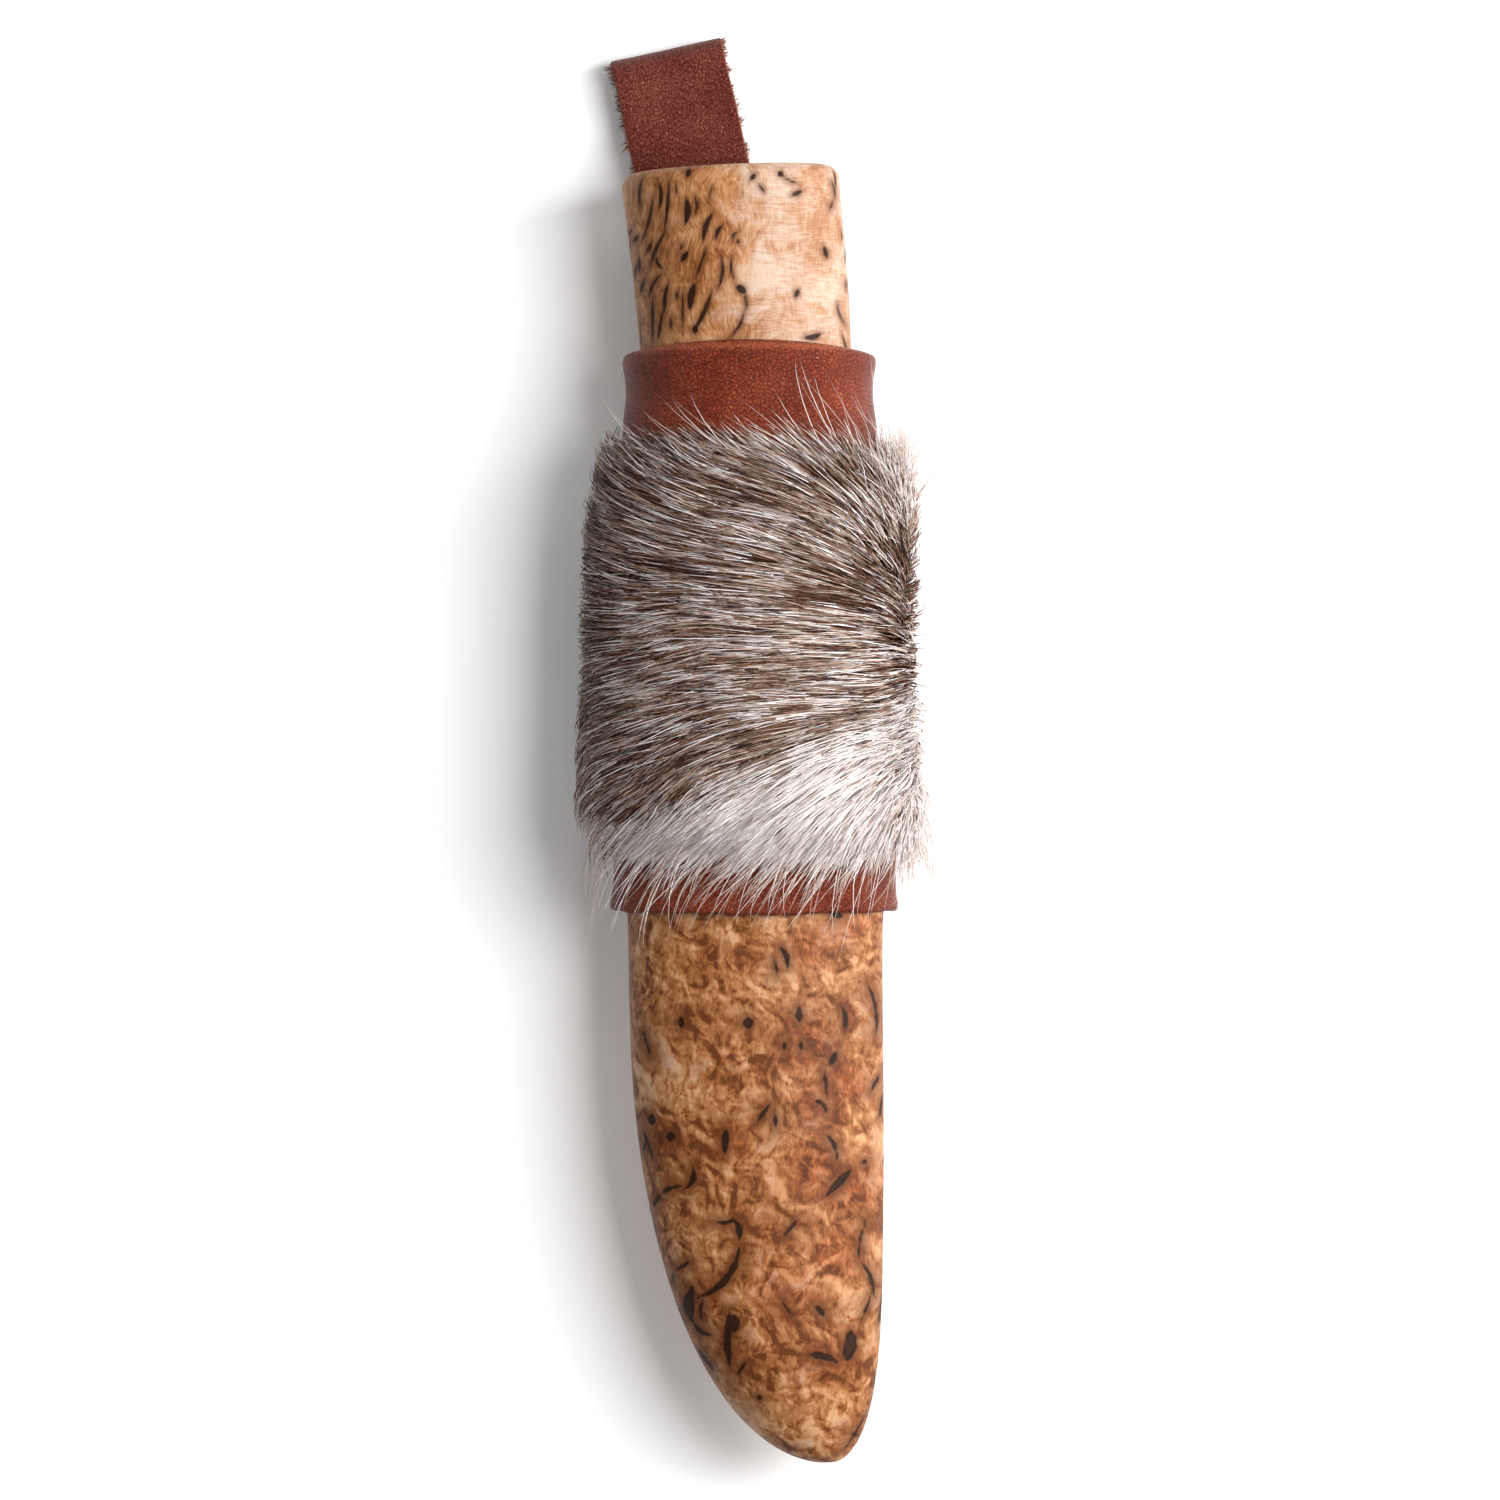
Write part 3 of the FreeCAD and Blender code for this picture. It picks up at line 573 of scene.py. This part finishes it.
def add_wood():
    dark = (0.012, 0.005, 0.003)
    sheath_shades = (
        dark, (0.115, 0.032, 0.009), (0.25, 0.088, 0.027), (0.38, 0.165, 0.065), (0.55, 0.305, 0.155))
    handle_shades = (
        dark, (0.15, 0.049, 0.015), (0.30, 0.118, 0.040), (0.46, 0.220, 0.095), (0.60, 0.35, 0.185))
    sheath = birch_finish("burl_sheath", sheath_shades, fibre_lean=0.8, figure=1.05, soft=0.19)
    handle = birch_finish("burl_handle", handle_shades, fibre_lean=0.20, figure=0.35, soft=0.04)
    mesh = wood_mesh("handle", HANDLE_MARKS, side_count=130, seed=3, pale_from=0.5)
    add_piece("handle_wood", mesh, "knife", [handle], ["handle"])
    for node, marks, seed in (("sheath_front_half", SHEATH_MARKS, 5), ("sheath_back_half", (), 7)):
        mesh = wood_mesh(node, marks, side_count=90, seed=seed)
        add_piece(node + "_wood", mesh, "sheath", [sheath], [node])


# ---------------------------------------------------------------- leather

SLEEVE_CELL = 0.5
# Mean radius of sleeve and hide, in mm, which turns an angle into a length round them.
SLEEVE_RADIUS = 18


def add_sleeve():
    """The stitched sleeve: its mouth is rolled over a shallow groove, and its hem is cut raw."""
    mesh = dense_mesh("leather_sleeve", SLEEVE_CELL)
    points = read_points(mesh)
    normals = read_normals(mesh)
    low, high = (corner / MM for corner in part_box("leather_sleeve"))
    middle = (low.x + high.x) / 2
    generator = np.random.default_rng(21)
    right = points[:, 0] - middle
    above = points[:, 2] - mid_height()
    outward = right * normals[:, 0] + above * normals[:, 2]
    outside = smooth_step(0.0, 4.0, outward)
    turn = np.arctan2(right, above)
    around = turn * SLEEVE_RADIUS
    below_rim = high.y - points[:, 1]
    over_hem = points[:, 1] - low.y
    rolled = 0.42 * np.exp(-((below_rim - 2.6) / 2.0) ** 2)
    groove = 0.30 * np.exp(-((below_rim - 8.0) / 3.2) ** 2)
    ripples = 0.22 * smooth_noise(generator, around, points[:, 1], 7.0) * smooth_step(2, 6, over_hem)
    flare = 0.35 * np.exp(-(over_hem / 2.5) ** 2)
    eased = 0.55 * np.exp(-(below_rim / 0.9) ** 2)
    move = (rolled - groove + ripples + flare - eased) * outside
    points += normals * move[:, None] * np.array([1.0, 0.0, 1.0])
    ragged = 0.28 * smooth_noise(generator, around, above * 0, 1.6) + 0.35 * np.cos(turn)
    points[:, 1] -= ragged * np.exp(-over_hem / 1.5)
    write_attribute(mesh, "cut", 0.55 * smooth_step(0.5, 0.9, -normals[:, 1]))
    # Lighter along the outside of the rolled rim's top edge: partly rubbed leather, partly a painted
    # highlight.
    write_attribute(mesh, "worn_and_highlit", 0.8 * np.exp(-((below_rim - 0.9) / 0.8) ** 2) * smooth_step(-4, 6, outward))
    write_points(mesh, points)
    shades = ((0.075, 0.009, 0.003), (0.185, 0.028, 0.010), (0.36, 0.090, 0.040), (0.08, 0.017, 0.009))
    leather = leather_finish(
        "sleeve_grain", shades, grain=0.60, pull=(1.0, 1.0, 1.0), deep=0.12, roughness=0.31,
        cloudy=0.45, speckled=0.45)
    sleeve = add_piece("sleeve_cover", mesh, "sheath", [leather], ["leather_sleeve"])


# The strap, in mm and degrees: its end and its reach are measured from the rivet.
STRAP_WIDE = 18.0
STRAP_THICK = 1.4
STRAP_REACH = 55.4
STRAP_END = 9.0
STRAP_LEAN = 12.5
STRAP_CELL = 0.45


def strap_side():
    """Middle line of the folded strap in its side view, in mm, from the back end: along, and height."""
    low, high = (corner.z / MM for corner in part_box("belt_loop"))
    back_low, front_high = low + STRAP_THICK / 2, high - STRAP_THICK / 2
    radius = (front_high - back_low) / 2
    middle = (front_high + back_low) / 2
    fold = STRAP_REACH - (high - low) / 2
    stack_back, stack_front = 1.9, 3.3
    along = np.concatenate([np.arange(-STRAP_END, fold, STRAP_CELL), [fold]])
    parted = smooth_step(STRAP_END, 3 * STRAP_END, along)
    back = np.stack([along, stack_back + (back_low - stack_back) * parted], -1)
    front = np.stack([along, stack_front + (front_high - stack_front) * parted], -1)[::-1]
    turn = np.linspace(-math.pi / 2, math.pi / 2, 26)[1:-1]
    bend = np.stack([fold + radius * np.cos(turn), middle + radius * np.sin(turn)], -1)
    return np.concatenate([back, bend, front])


def strap_frame(line):
    """Unit vectors along the strap's middle line and out of its grain side, both in its side view."""
    forward = np.gradient(line, axis=0)
    forward /= np.linalg.norm(forward, axis=1, keepdims=True)
    outward = np.stack([forward[:, 1], -forward[:, 0]], -1)
    return forward, outward


def strap_to_object(across, along, above):
    """From the strap's own axes, at the rivet, to the object's, in mm."""
    pivot = Vector(next(joint["pos_m"] for joint in frame["joints"] if joint["name"] == "loop_swing")) / MM
    lean = math.radians(STRAP_LEAN)
    return np.stack([
        pivot.x + across * math.cos(lean) - along * math.sin(lean),
        pivot.y + across * math.sin(lean) + along * math.cos(lean),
        above,
    ], -1)


def strap_half_width(along, generator):
    """Half the strap's width at places along it: rounded at the ends, and cut a little unevenly."""
    corner = 0.5
    trimmed_off = 0.12
    inside = np.clip(-along - corner, 0, STRAP_END - corner)
    rounded = np.sqrt((STRAP_WIDE / 2 - corner) ** 2 - inside ** 2) + corner
    uneven = 0.10 * smooth_noise(generator, np.arange(len(along)) * STRAP_CELL, along * 0, 2.3)
    return np.where(along < -corner, rounded, STRAP_WIDE / 2) - trimmed_off + uneven


def add_strap():
    """The belt loop: one strap, folded, with soft rounded faces and raw edges."""
    line = strap_side()
    _, outward = strap_frame(line)
    generator = np.random.default_rng(31)
    half = strap_half_width(line[:, 0], generator)
    edge_turn = np.linspace(0, math.pi, 7)[1:-1]
    face = np.linspace(-1, 1, 41)
    soft = 0.3
    ring = []
    for share in face:
        ring.append((share, 0.0, 1.0, 0.0))
    for turn in edge_turn:
        ring.append((1.0, math.sin(turn), math.cos(turn), 1.0))
    for share in face[::-1]:
        ring.append((share, 0.0, -1.0, 0.0))
    for turn in edge_turn:
        ring.append((-1.0, -math.sin(turn), -math.cos(turn), 1.0))
    share, bulge, side, cut = np.array(ring).T
    across = share[None, :] * (half[:, None] - soft) + bulge[None, :] * soft
    puff = 0.05 * smooth_noise(generator, across, line[:, :1] + across * 0 + side[None, :] * 90, 4.0)
    lift = side[None, :] * (STRAP_THICK / 2 - 0.06 + puff)
    along = line[:, :1] + outward[:, :1] * lift
    above = line[:, 1:] + outward[:, 1:] * lift
    points = strap_to_object(across, along, above)
    rows, count = across.shape
    first = (np.arange(rows - 1) * count)[:, None]
    corner = np.arange(count)[None, :]
    after = (corner + 1) % count
    over = first + count
    faces = np.stack([first + corner, first + after, over + after, over + corner], -1).reshape(-1, 4)
    ends = [list(range(count)), list(range((rows - 1) * count, rows * count))[::-1]]
    mesh = bpy.data.meshes.new("strap")
    mesh.from_pydata((points.reshape(-1, 3) * MM).tolist(), [], ends + faces.tolist())
    mesh.update()
    write_attribute(mesh, "cut", np.tile(cut, rows))
    shades = ((0.060, 0.007, 0.004), (0.185, 0.038, 0.024), (0.46, 0.165, 0.120), (0.24, 0.080, 0.050))
    leather = leather_finish(
        "strap_grain", shades, grain=0.46, pull=(1.25, 0.8, 1.0), deep=0.20, roughness=0.42,
        cloudy=0.25, speckled=0.45)
    strap = add_piece("strap_band", mesh, "loop", [leather], ["belt_loop"])


def add_fray():
    """Loose fibres of the strap's two cut edges, in tufts."""
    line = strap_side()
    forward, outward = strap_frame(line)
    generator = np.random.default_rng(33)
    half = strap_half_width(line[:, 0], np.random.default_rng(31))
    tufts = 150
    each = 9
    count = tufts * each
    inside = line[:, 0] > STRAP_END
    tuft_row = generator.choice(np.flatnonzero(inside), tufts)
    tuft_size = generator.uniform(0.25, 1.0, tufts) ** 2
    row = np.clip(np.repeat(tuft_row, each) + generator.integers(-1, 2, count), 0, len(line) - 1)
    size = np.repeat(tuft_size, each)
    edge = np.repeat(generator.choice((-1.0, 1.0), tufts), each)
    reach = size * generator.uniform(0.5, 1.5, count)
    slip = np.repeat(generator.normal(0, 0.5, tufts), each) + generator.normal(0, 0.5, count)
    level = generator.uniform(-0.55, 0.55, count)
    paths = []
    for share in np.linspace(0, 1, 4):
        out = (half[row] - 0.25 + share * (reach + 0.2)) * edge
        along_slip = slip * reach * share ** 1.4
        along = line[row, 0] + outward[row, 0] * level + forward[row, 0] * along_slip
        above = line[row, 1] + outward[row, 1] * level + forward[row, 1] * along_slip
        paths.append(strap_to_object(out, along, above))
    radius = generator.uniform(0.05, 0.10, (count, 1)) * np.array([[1.0, 0.9, 0.6, 0.15]])
    colours = [(0.20, 0.075, 0.05), (0.33, 0.15, 0.10), (0.10, 0.03, 0.02)]
    materials = [plain_material(f"fibre_{i}", colour, 0.8) for i, colour in enumerate(colours, start=1)]
    slots = np.repeat(generator.integers(0, len(colours), (count, 1)), 3, axis=1)
    mesh = strand_mesh("strap_fray", np.stack(paths, 1), radius, slots)
    add_piece("strap_fray", mesh, "loop", materials)


# ---------------------------------------------------------------- the band's surface

class Tube:
    """An oval tube between two sections read from a CAD node, as a surface to grow hair on.

    A place on it is (around, along): mm round from the middle of the front, positive towards +X, and mm of Y.
    """

    def __init__(self, node):
        points = read_points(NODES[node].data)
        near = 0.3
        self.ends = []
        for along in (points[:, 1].min(), points[:, 1].max()):
            ring = points[abs(points[:, 1] - along) < near]
            low, high = ring.min(0), ring.max(0)
            self.ends.append((along, (low[0] + high[0]) / 2, (high[0] - low[0]) / 2, (high[2] - low[2]) / 2))
        self.middle = (low[2] + high[2]) / 2
        wide = (self.ends[0][2] + self.ends[1][2]) / 2
        high = (self.ends[0][3] + self.ends[1][3]) / 2
        self.turns = np.linspace(-math.pi, math.pi, 721)
        steps = np.hypot(wide * np.cos(self.turns), high * np.sin(self.turns))
        lengths = np.concatenate([[0], np.cumsum((steps[1:] + steps[:-1]) / 2 * np.diff(self.turns))])
        self.girth = lengths[-1]
        self.arcs = lengths - self.girth / 2

    def place(self, around, along, above):
        """Points 'above' the surface, in mm."""
        low, high = self.ends
        share = (along - low[0]) / (high[0] - low[0])
        centre, wide, deep = [low[i] + (high[i] - low[i]) * share for i in (1, 2, 3)]
        wrapped = (around + self.girth / 2) % self.girth - self.girth / 2
        turn = np.interp(wrapped, self.arcs, self.turns)
        normal = np.stack([np.sin(turn) / wide, np.zeros_like(turn), np.cos(turn) / deep], -1)
        normal /= np.linalg.norm(normal, axis=-1, keepdims=True)
        spot = np.stack([centre + wide * np.sin(turn), along, self.middle + deep * np.cos(turn)], -1)
        return spot + normal * above[..., None]


def add_hide():
    """The hide under the hair, with uneven cut edges."""
    mesh = dense_mesh("hide_band", 0.8)
    points = read_points(mesh)
    generator = np.random.default_rng(41)
    turn = np.arctan2(points[:, 0], points[:, 2] - mid_height())
    low, high = (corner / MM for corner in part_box("hide_band"))
    around = turn * SLEEVE_RADIUS
    uneven = 0.5 * smooth_noise(generator, around, turn * 0, 5.0)
    share = (points[:, 1] - low.y) / (high.y - low.y)
    points[:, 1] += uneven * (2 * share - 1) + hem_lift(around) * (1 - share) ** 2
    write_points(mesh, points)
    hide = add_piece("hide_skin", mesh, "sheath", [hide_finish()], ["hide_band"])


# ---------------------------------------------------------------- hair

HAIR_COLOURS = {
    "hair_white": (0.90, 0.84, 0.815),
    "hair_pale": (0.60, 0.465, 0.400),
    "hair_grey": (0.385, 0.262, 0.204),
    "hair_beige": (0.25, 0.142, 0.097),
    "hair_tan": (0.160, 0.071, 0.041),
    "hair_brown": (0.087, 0.031, 0.016),
    "hair_dark": (0.031, 0.011, 0.006),
}
HAIR_NAMES = list(HAIR_COLOURS)
HAIR_SEGMENTS = 6
COAT_HAIRS = 44000
FUR_PIECES = 10


def strand_mesh(name, points, radius, slots):
    """Three-sided tapering strands as one closed mesh. slots holds a material index for each segment."""
    hairs, count = points.shape[:2]
    tangent = np.gradient(points, axis=1)
    tangent /= np.linalg.norm(tangent, axis=-1, keepdims=True) + 1e-12
    helper = np.array([0.31, 0.17, 0.93])
    side = np.cross(tangent, helper)
    side /= np.linalg.norm(side, axis=-1, keepdims=True) + 1e-12
    other = np.cross(tangent, side)
    corners = []
    for turn in (0, FULL_TURN / 3, 2 * FULL_TURN / 3):
        corners.append(points + (side * math.cos(turn) + other * math.sin(turn)) * radius[..., None])
    vertices = np.stack(corners, 2).reshape(-1, 3) * MM
    base = (np.arange(hairs) * count * 3)[:, None, None]
    ring = (np.arange(count - 1) * 3)[None, :, None]
    corner = np.arange(3)[None, None, :]
    after = (corner + 1) % 3
    a = base + ring + corner
    b = base + ring + after
    quads = np.stack([a, b, b + 3, a + 3], -1).reshape(-1, 4)
    quad_slots = np.repeat(slots.reshape(-1), 3)
    start = base[:, 0, 0]
    last = start + (count - 1) * 3
    caps = np.concatenate([
        np.stack([start, start + 2, start + 1], -1),
        np.stack([last, last + 1, last + 2], -1),
    ])
    cap_slots = np.concatenate([slots[:, 0], slots[:, -1]])
    mesh = bpy.data.meshes.new(name)
    mesh.vertices.add(len(vertices))
    mesh.vertices.foreach_set("co", vertices.ravel())
    loops = np.concatenate([quads.ravel(), caps.ravel()])
    sizes = np.concatenate([np.full(len(quads), 4), np.full(len(caps), 3)])
    mesh.loops.add(len(loops))
    mesh.loops.foreach_set("vertex_index", loops.astype(np.int32))
    mesh.polygons.add(len(sizes))
    starts = np.concatenate([[0], np.cumsum(sizes)[:-1]])
    mesh.polygons.foreach_set("loop_start", starts.astype(np.int32))
    mesh.polygons.foreach_set("material_index", np.concatenate([quad_slots, cap_slots]).astype(np.int32))
    mesh.update(calc_edges=True)
    return mesh


def flow_angle(around, along):
    """Direction of the coat at a place, and how far the parting is, which winds along the right side."""
    parting_around = 29.0
    parted = 12.0
    winding = 1.6 * np.sin((along + 6) / 6.5)
    away = around - parting_around - winding
    reach = np.clip(abs(away) / 45, 0, 1)
    across = np.clip(away, -33, 33) + np.where(away < 0, -parted, parted)
    up = along - (14 + 7 * reach)
    steep = np.where(up > 0, 0.95, 0.55 + 0.45 * reach) * (0.75 + 0.6 * (up / 30) ** 2)
    droop = 0.15 * smooth_step(45, 62, abs(away)) * np.where(away < 0, 1, -1)
    return np.arctan2(up * steep, across) + droop, abs(away)


def grow_hair(generator, roots, length, lift, spread, segments):
    """Paths of hairs, as around, along and above in mm, that lie down along the coat's flow."""
    around, along = roots[:, 0].copy(), roots[:, 1].copy()
    wide_bend = smooth_noise(generator, around, along, 9.0) * 0.16
    bend = wide_bend + smooth_noise(generator, around, along, 3.0) * 0.10
    bend = bend + generator.normal(0, spread, len(around))
    cuts = generator.uniform(0.6, 1.4, (len(around), segments))
    cuts = cuts / cuts.sum(1, keepdims=True) * length[:, None]
    path = [np.stack([around, along, np.zeros_like(around)], -1)]
    rise = np.zeros_like(around)
    for index in range(segments):
        share = (index + 0.5) / segments
        angle, far = flow_angle(around, along)
        angle = angle + bend * (0.5 + share)
        upright = np.exp(-(far / 6.5) ** 2) * 0.9
        lifted = lift * (1 - share) ** 1.6 * 2.6 / segments
        climb = np.maximum(lifted, upright * cuts[:, index] * (1 - 0.5 * share))
        climb = np.minimum(climb, 0.9 * cuts[:, index])
        rise = rise + climb
        flat = np.sqrt(cuts[:, index] ** 2 - climb ** 2)
        around = around + np.cos(angle) * flat
        along = along + np.sin(angle) * flat
        path.append(np.stack([around, along, rise], -1))
    return np.stack(path, 1)


def clump(path, cell, amount):
    """Draw the tips of the hairs that grow in one cell towards the first hair there."""
    keys = np.floor(path[:, 0, :2] / cell).astype(np.int64)
    code = keys[:, 0] * 100003 + keys[:, 1]
    _, first, which = np.unique(code, return_index=True, return_inverse=True)
    leader = path[first][which]
    share = np.linspace(0, 1, path.shape[1])[None, :, None] ** 1.3
    pull = share * amount[:, None, None]
    return path * (1 - pull) + leader * pull


def trimmed(path, low, high, over_low, over_high):
    """Shorten each hair so that it passes the hide's ends by no more than it may, keeping its shape."""
    count = path.shape[1]
    along = path[:, :, 1]
    outside = (along > (high + over_high)[:, None]) | (along < (low - over_low)[:, None])
    first_out = np.where(outside.any(1), outside.argmax(1), count)
    keep = np.clip((first_out - 0.5) / (count - 1), 0.15, 1.0)
    places = keep[:, None] * np.linspace(0, 1, count)[None, :] * (count - 1)
    lower = np.clip(np.floor(places).astype(int), 0, count - 2)
    share = (places - lower)[..., None]
    rows = np.arange(len(path))[:, None]
    return path[rows, lower] * (1 - share) + path[rows, lower + 1] * share


def hair_slots(generator, path):
    """A colour for each segment of each hair: brown at the root, paler outwards, with streaks and bands."""
    count, segments = len(path), path.shape[1] - 1
    share = ((np.arange(segments) + 0.5) / segments)[None, :]
    around = (path[:, 1:, 0] + path[:, :-1, 0]) / 2
    along = (path[:, 1:, 1] + path[:, :-1, 1]) / 2
    patch = smooth_noise(generator, around, along, 8.0)
    angle, far = flow_angle(around, along)
    wide = smooth_noise(generator, far * 0.22, angle * 26, 1.1)
    narrow = smooth_noise(generator, far * 0.30, angle * 30, 0.55)
    tone = 0.240 + share * 0.60 + generator.normal(0, 0.27, (count, 1))
    tone = tone - 0.08 * patch - 0.12 * wide - 0.26 * narrow
    banded = generator.random(count) < 0.5
    band_place = generator.uniform(0.4, 1.05, count)
    band = np.exp(-((share - band_place[:, None]) / 0.12) ** 2) * banded[:, None]
    tone = tone - band * 0.7
    # Browner towards the parting at the right, along the top and towards the left edge.
    tone = tone - 0.26 * np.exp(-(far / 8.0) ** 2) * smooth_step(-8, 4, along) * smooth_step(46, 34, along)
    tone = tone - 0.09 * smooth_step(24, 42, along - 0.3 * around)
    tone = tone - 0.10 * smooth_step(18, 34, -around)
    # White belly hair at the lower right, paler low down, and pale tufts at the top of the parting.
    white = np.clip((-1.0 - along + 0.50 * (around - 2)) / 7.0 + 0.3 * patch, 0, 1) * (abs(around) < 40)
    tone = tone + white * (0.85 - 0.3 * band)
    tone = tone + 0.16 * smooth_step(0, 14, -8 - along) * smooth_step(45, 20, abs(around))
    tone = tone + 0.45 * smooth_step(18, 27, around) * smooth_step(32, 42, along)
    levels = np.array([0.10, 0.25, 0.40, 0.54, 0.68, 0.84])
    return len(HAIR_NAMES) - 1 - np.searchsorted(levels, tone)


def hem_lift(around):
    """How far the band's lower edge is drawn up, in mm, at a place: most on the left."""
    return 6.0 * np.exp(-((around + 30) / 18) ** 2)


def coat(generator, tube, count, length, lift, margin):
    """Roots, paths and overshoots of one layer of the coat, between margins from the hide's ends."""
    low, high = tube.ends[0][0], tube.ends[1][0]
    roots = np.stack([
        generator.uniform(-tube.girth / 2, tube.girth / 2, count),
        generator.uniform(low + margin, high - margin, count),
    ], -1)
    lengths = generator.normal(length, length * 0.14, count)
    near_end = np.minimum(roots[:, 1] - low, high - roots[:, 1])
    _, far = flow_angle(roots[:, 0], roots[:, 1])
    lengths = lengths * (0.45 + 0.55 * smooth_step(0, 9, near_end)) * (0.5 + 0.5 * smooth_step(0, 12, far))
    lifts = generator.uniform(0.3, 1.0, count) ** 0.8 * lift * (0.35 + 0.65 * smooth_step(0, 18, near_end))
    path = grow_hair(generator, roots, lengths, lifts, spread=0.08, segments=HAIR_SEGMENTS)
    path = clump(path, 1.3, generator.uniform(0.0, 0.5, count))
    around = roots[:, 0]
    over_low = generator.exponential(1.6, count) - 1.8 - hem_lift(around)
    over_high = 0.8 + generator.exponential(1.5, count) - 2.5 * smooth_step(-12, 22, around) * (around < 30)
    return roots, trimmed(path, low, high, over_low, over_high)


# Single hairs that stand off the coat: how many, where round the band (middle, spread), and from and to for
# the mm above the band's foot, the length and the lift.
STRAY_GROUPS = (
    (300, (4, 17), (0.5, 8), (9, 19), (1.0, 3.8)),
    (100, (8, 14), (56, 61), (9, 19), (1.0, 3.8)),
    (420, (31, 5), (46, 61), (8, 14), (3.0, 7.0)),
    (420, (31, 6), (2, 24), (9, 16), (3.5, 7.5)),
)


def strays(generator, tube, share):
    """Long thin single hairs: over the wood and the sleeve, and along the parting's two ends."""
    roots, paths = [], []
    for count, around, above_foot, lengths, lifts in STRAY_GROUPS:
        count = int(count * share)
        along = tube.ends[0][0] + generator.uniform(*above_foot, count)
        group = np.stack([generator.normal(*around, count), along], -1)
        length = generator.uniform(*lengths, count)
        lift = generator.uniform(*lifts, count)
        paths.append(grow_hair(generator, group, length, lift, spread=0.16, segments=HAIR_SEGMENTS))
        roots.append(group)
    return np.concatenate(roots), np.concatenate(paths)


def add_fur():
    generator = np.random.default_rng(11)
    tube = Tube("hide_band")
    materials = []
    for name, colour in HAIR_COLOURS.items():
        materials.append(plain_material(name, colour, 0.5, Specular_IOR_Level=0.2))
    share = 1.0
    roots, path = coat(generator, tube, int(COAT_HAIRS * share), length=18.0, lift=5.2, margin=0.3)
    stray_roots, stray_path = strays(np.random.default_rng(13), tube, share)
    slots = hair_slots(generator, path)
    stray_slots = np.repeat(generator.integers(0, 2, (len(stray_roots), 1)), HAIR_SEGMENTS, axis=1)
    width = generator.uniform(0.075, 0.135, len(roots))
    stray_width = generator.uniform(0.045, 0.07, len(stray_roots))
    roots = np.concatenate([roots, stray_roots])
    path = np.concatenate([path, stray_path])
    slots = np.concatenate([slots, stray_slots])
    width = np.concatenate([width, stray_width])
    points = tube.place(path[..., 0], path[..., 1], path[..., 2])
    floor_gap = generator.uniform(0.15, 1.2, (len(roots), 1))
    points[..., 2] = np.maximum(points[..., 2], floor_gap)
    taper = np.array([0.75, 1.0, 1.0, 0.95, 0.8, 0.5, 0.08])
    radius = width[:, None] * taper[None, :]
    order = np.argsort(roots[:, 0])
    for index, chosen in enumerate(np.array_split(order, FUR_PIECES), start=1):
        mesh = strand_mesh(f"fur_{index}", points[chosen], radius[chosen], slots[chosen])
        stands_for = ["fur_pile"] if index == 1 else ()
        add_piece(f"fur_{index}", mesh, "sheath", materials, stands_for)


# ---------------------------------------------------------------- nodes that keep their CAD shape

def finish_nodes():
    """Materials of the carried-over nodes: threads, rivet, bolster, spacer and blade."""
    thread = thread_finish()
    brass_shades = ((0.62, 0.40, 0.15), (0.86, 0.62, 0.28))
    steel_shades = ((0.42, 0.43, 0.45), (0.66, 0.67, 0.69))
    brass = metal_finish("turned_brass", brass_shades, grain=(0.6, 4.0, 4.0), roughness=0.30, stained=0.45)
    steel = metal_finish("ground_steel", steel_shades, grain=(0.4, 9.0, 0.4), roughness=0.30, stained=0.12)
    finishes = {
        "sleeve_seam_thread": thread,
        "hide_seam_thread": thread,
        "loop_rivet_post": brass,
        "loop_rivet_cap": brass,
        "bolster": brass,
        "bark_spacer": bark_finish(),
        "blade": steel,
    }
    for node, material in finishes.items():
        NODES[node].data.materials.clear()
        NODES[node].data.materials.append(material)


# ---------------------------------------------------------------- the whole object

add_camera()
add_light()
add_floor()
add_wood()
add_sleeve()
add_strap()
add_fray()
add_hide()
add_fur()
finish_nodes()
bpy.context.scene.view_settings.view_transform = "Standard"
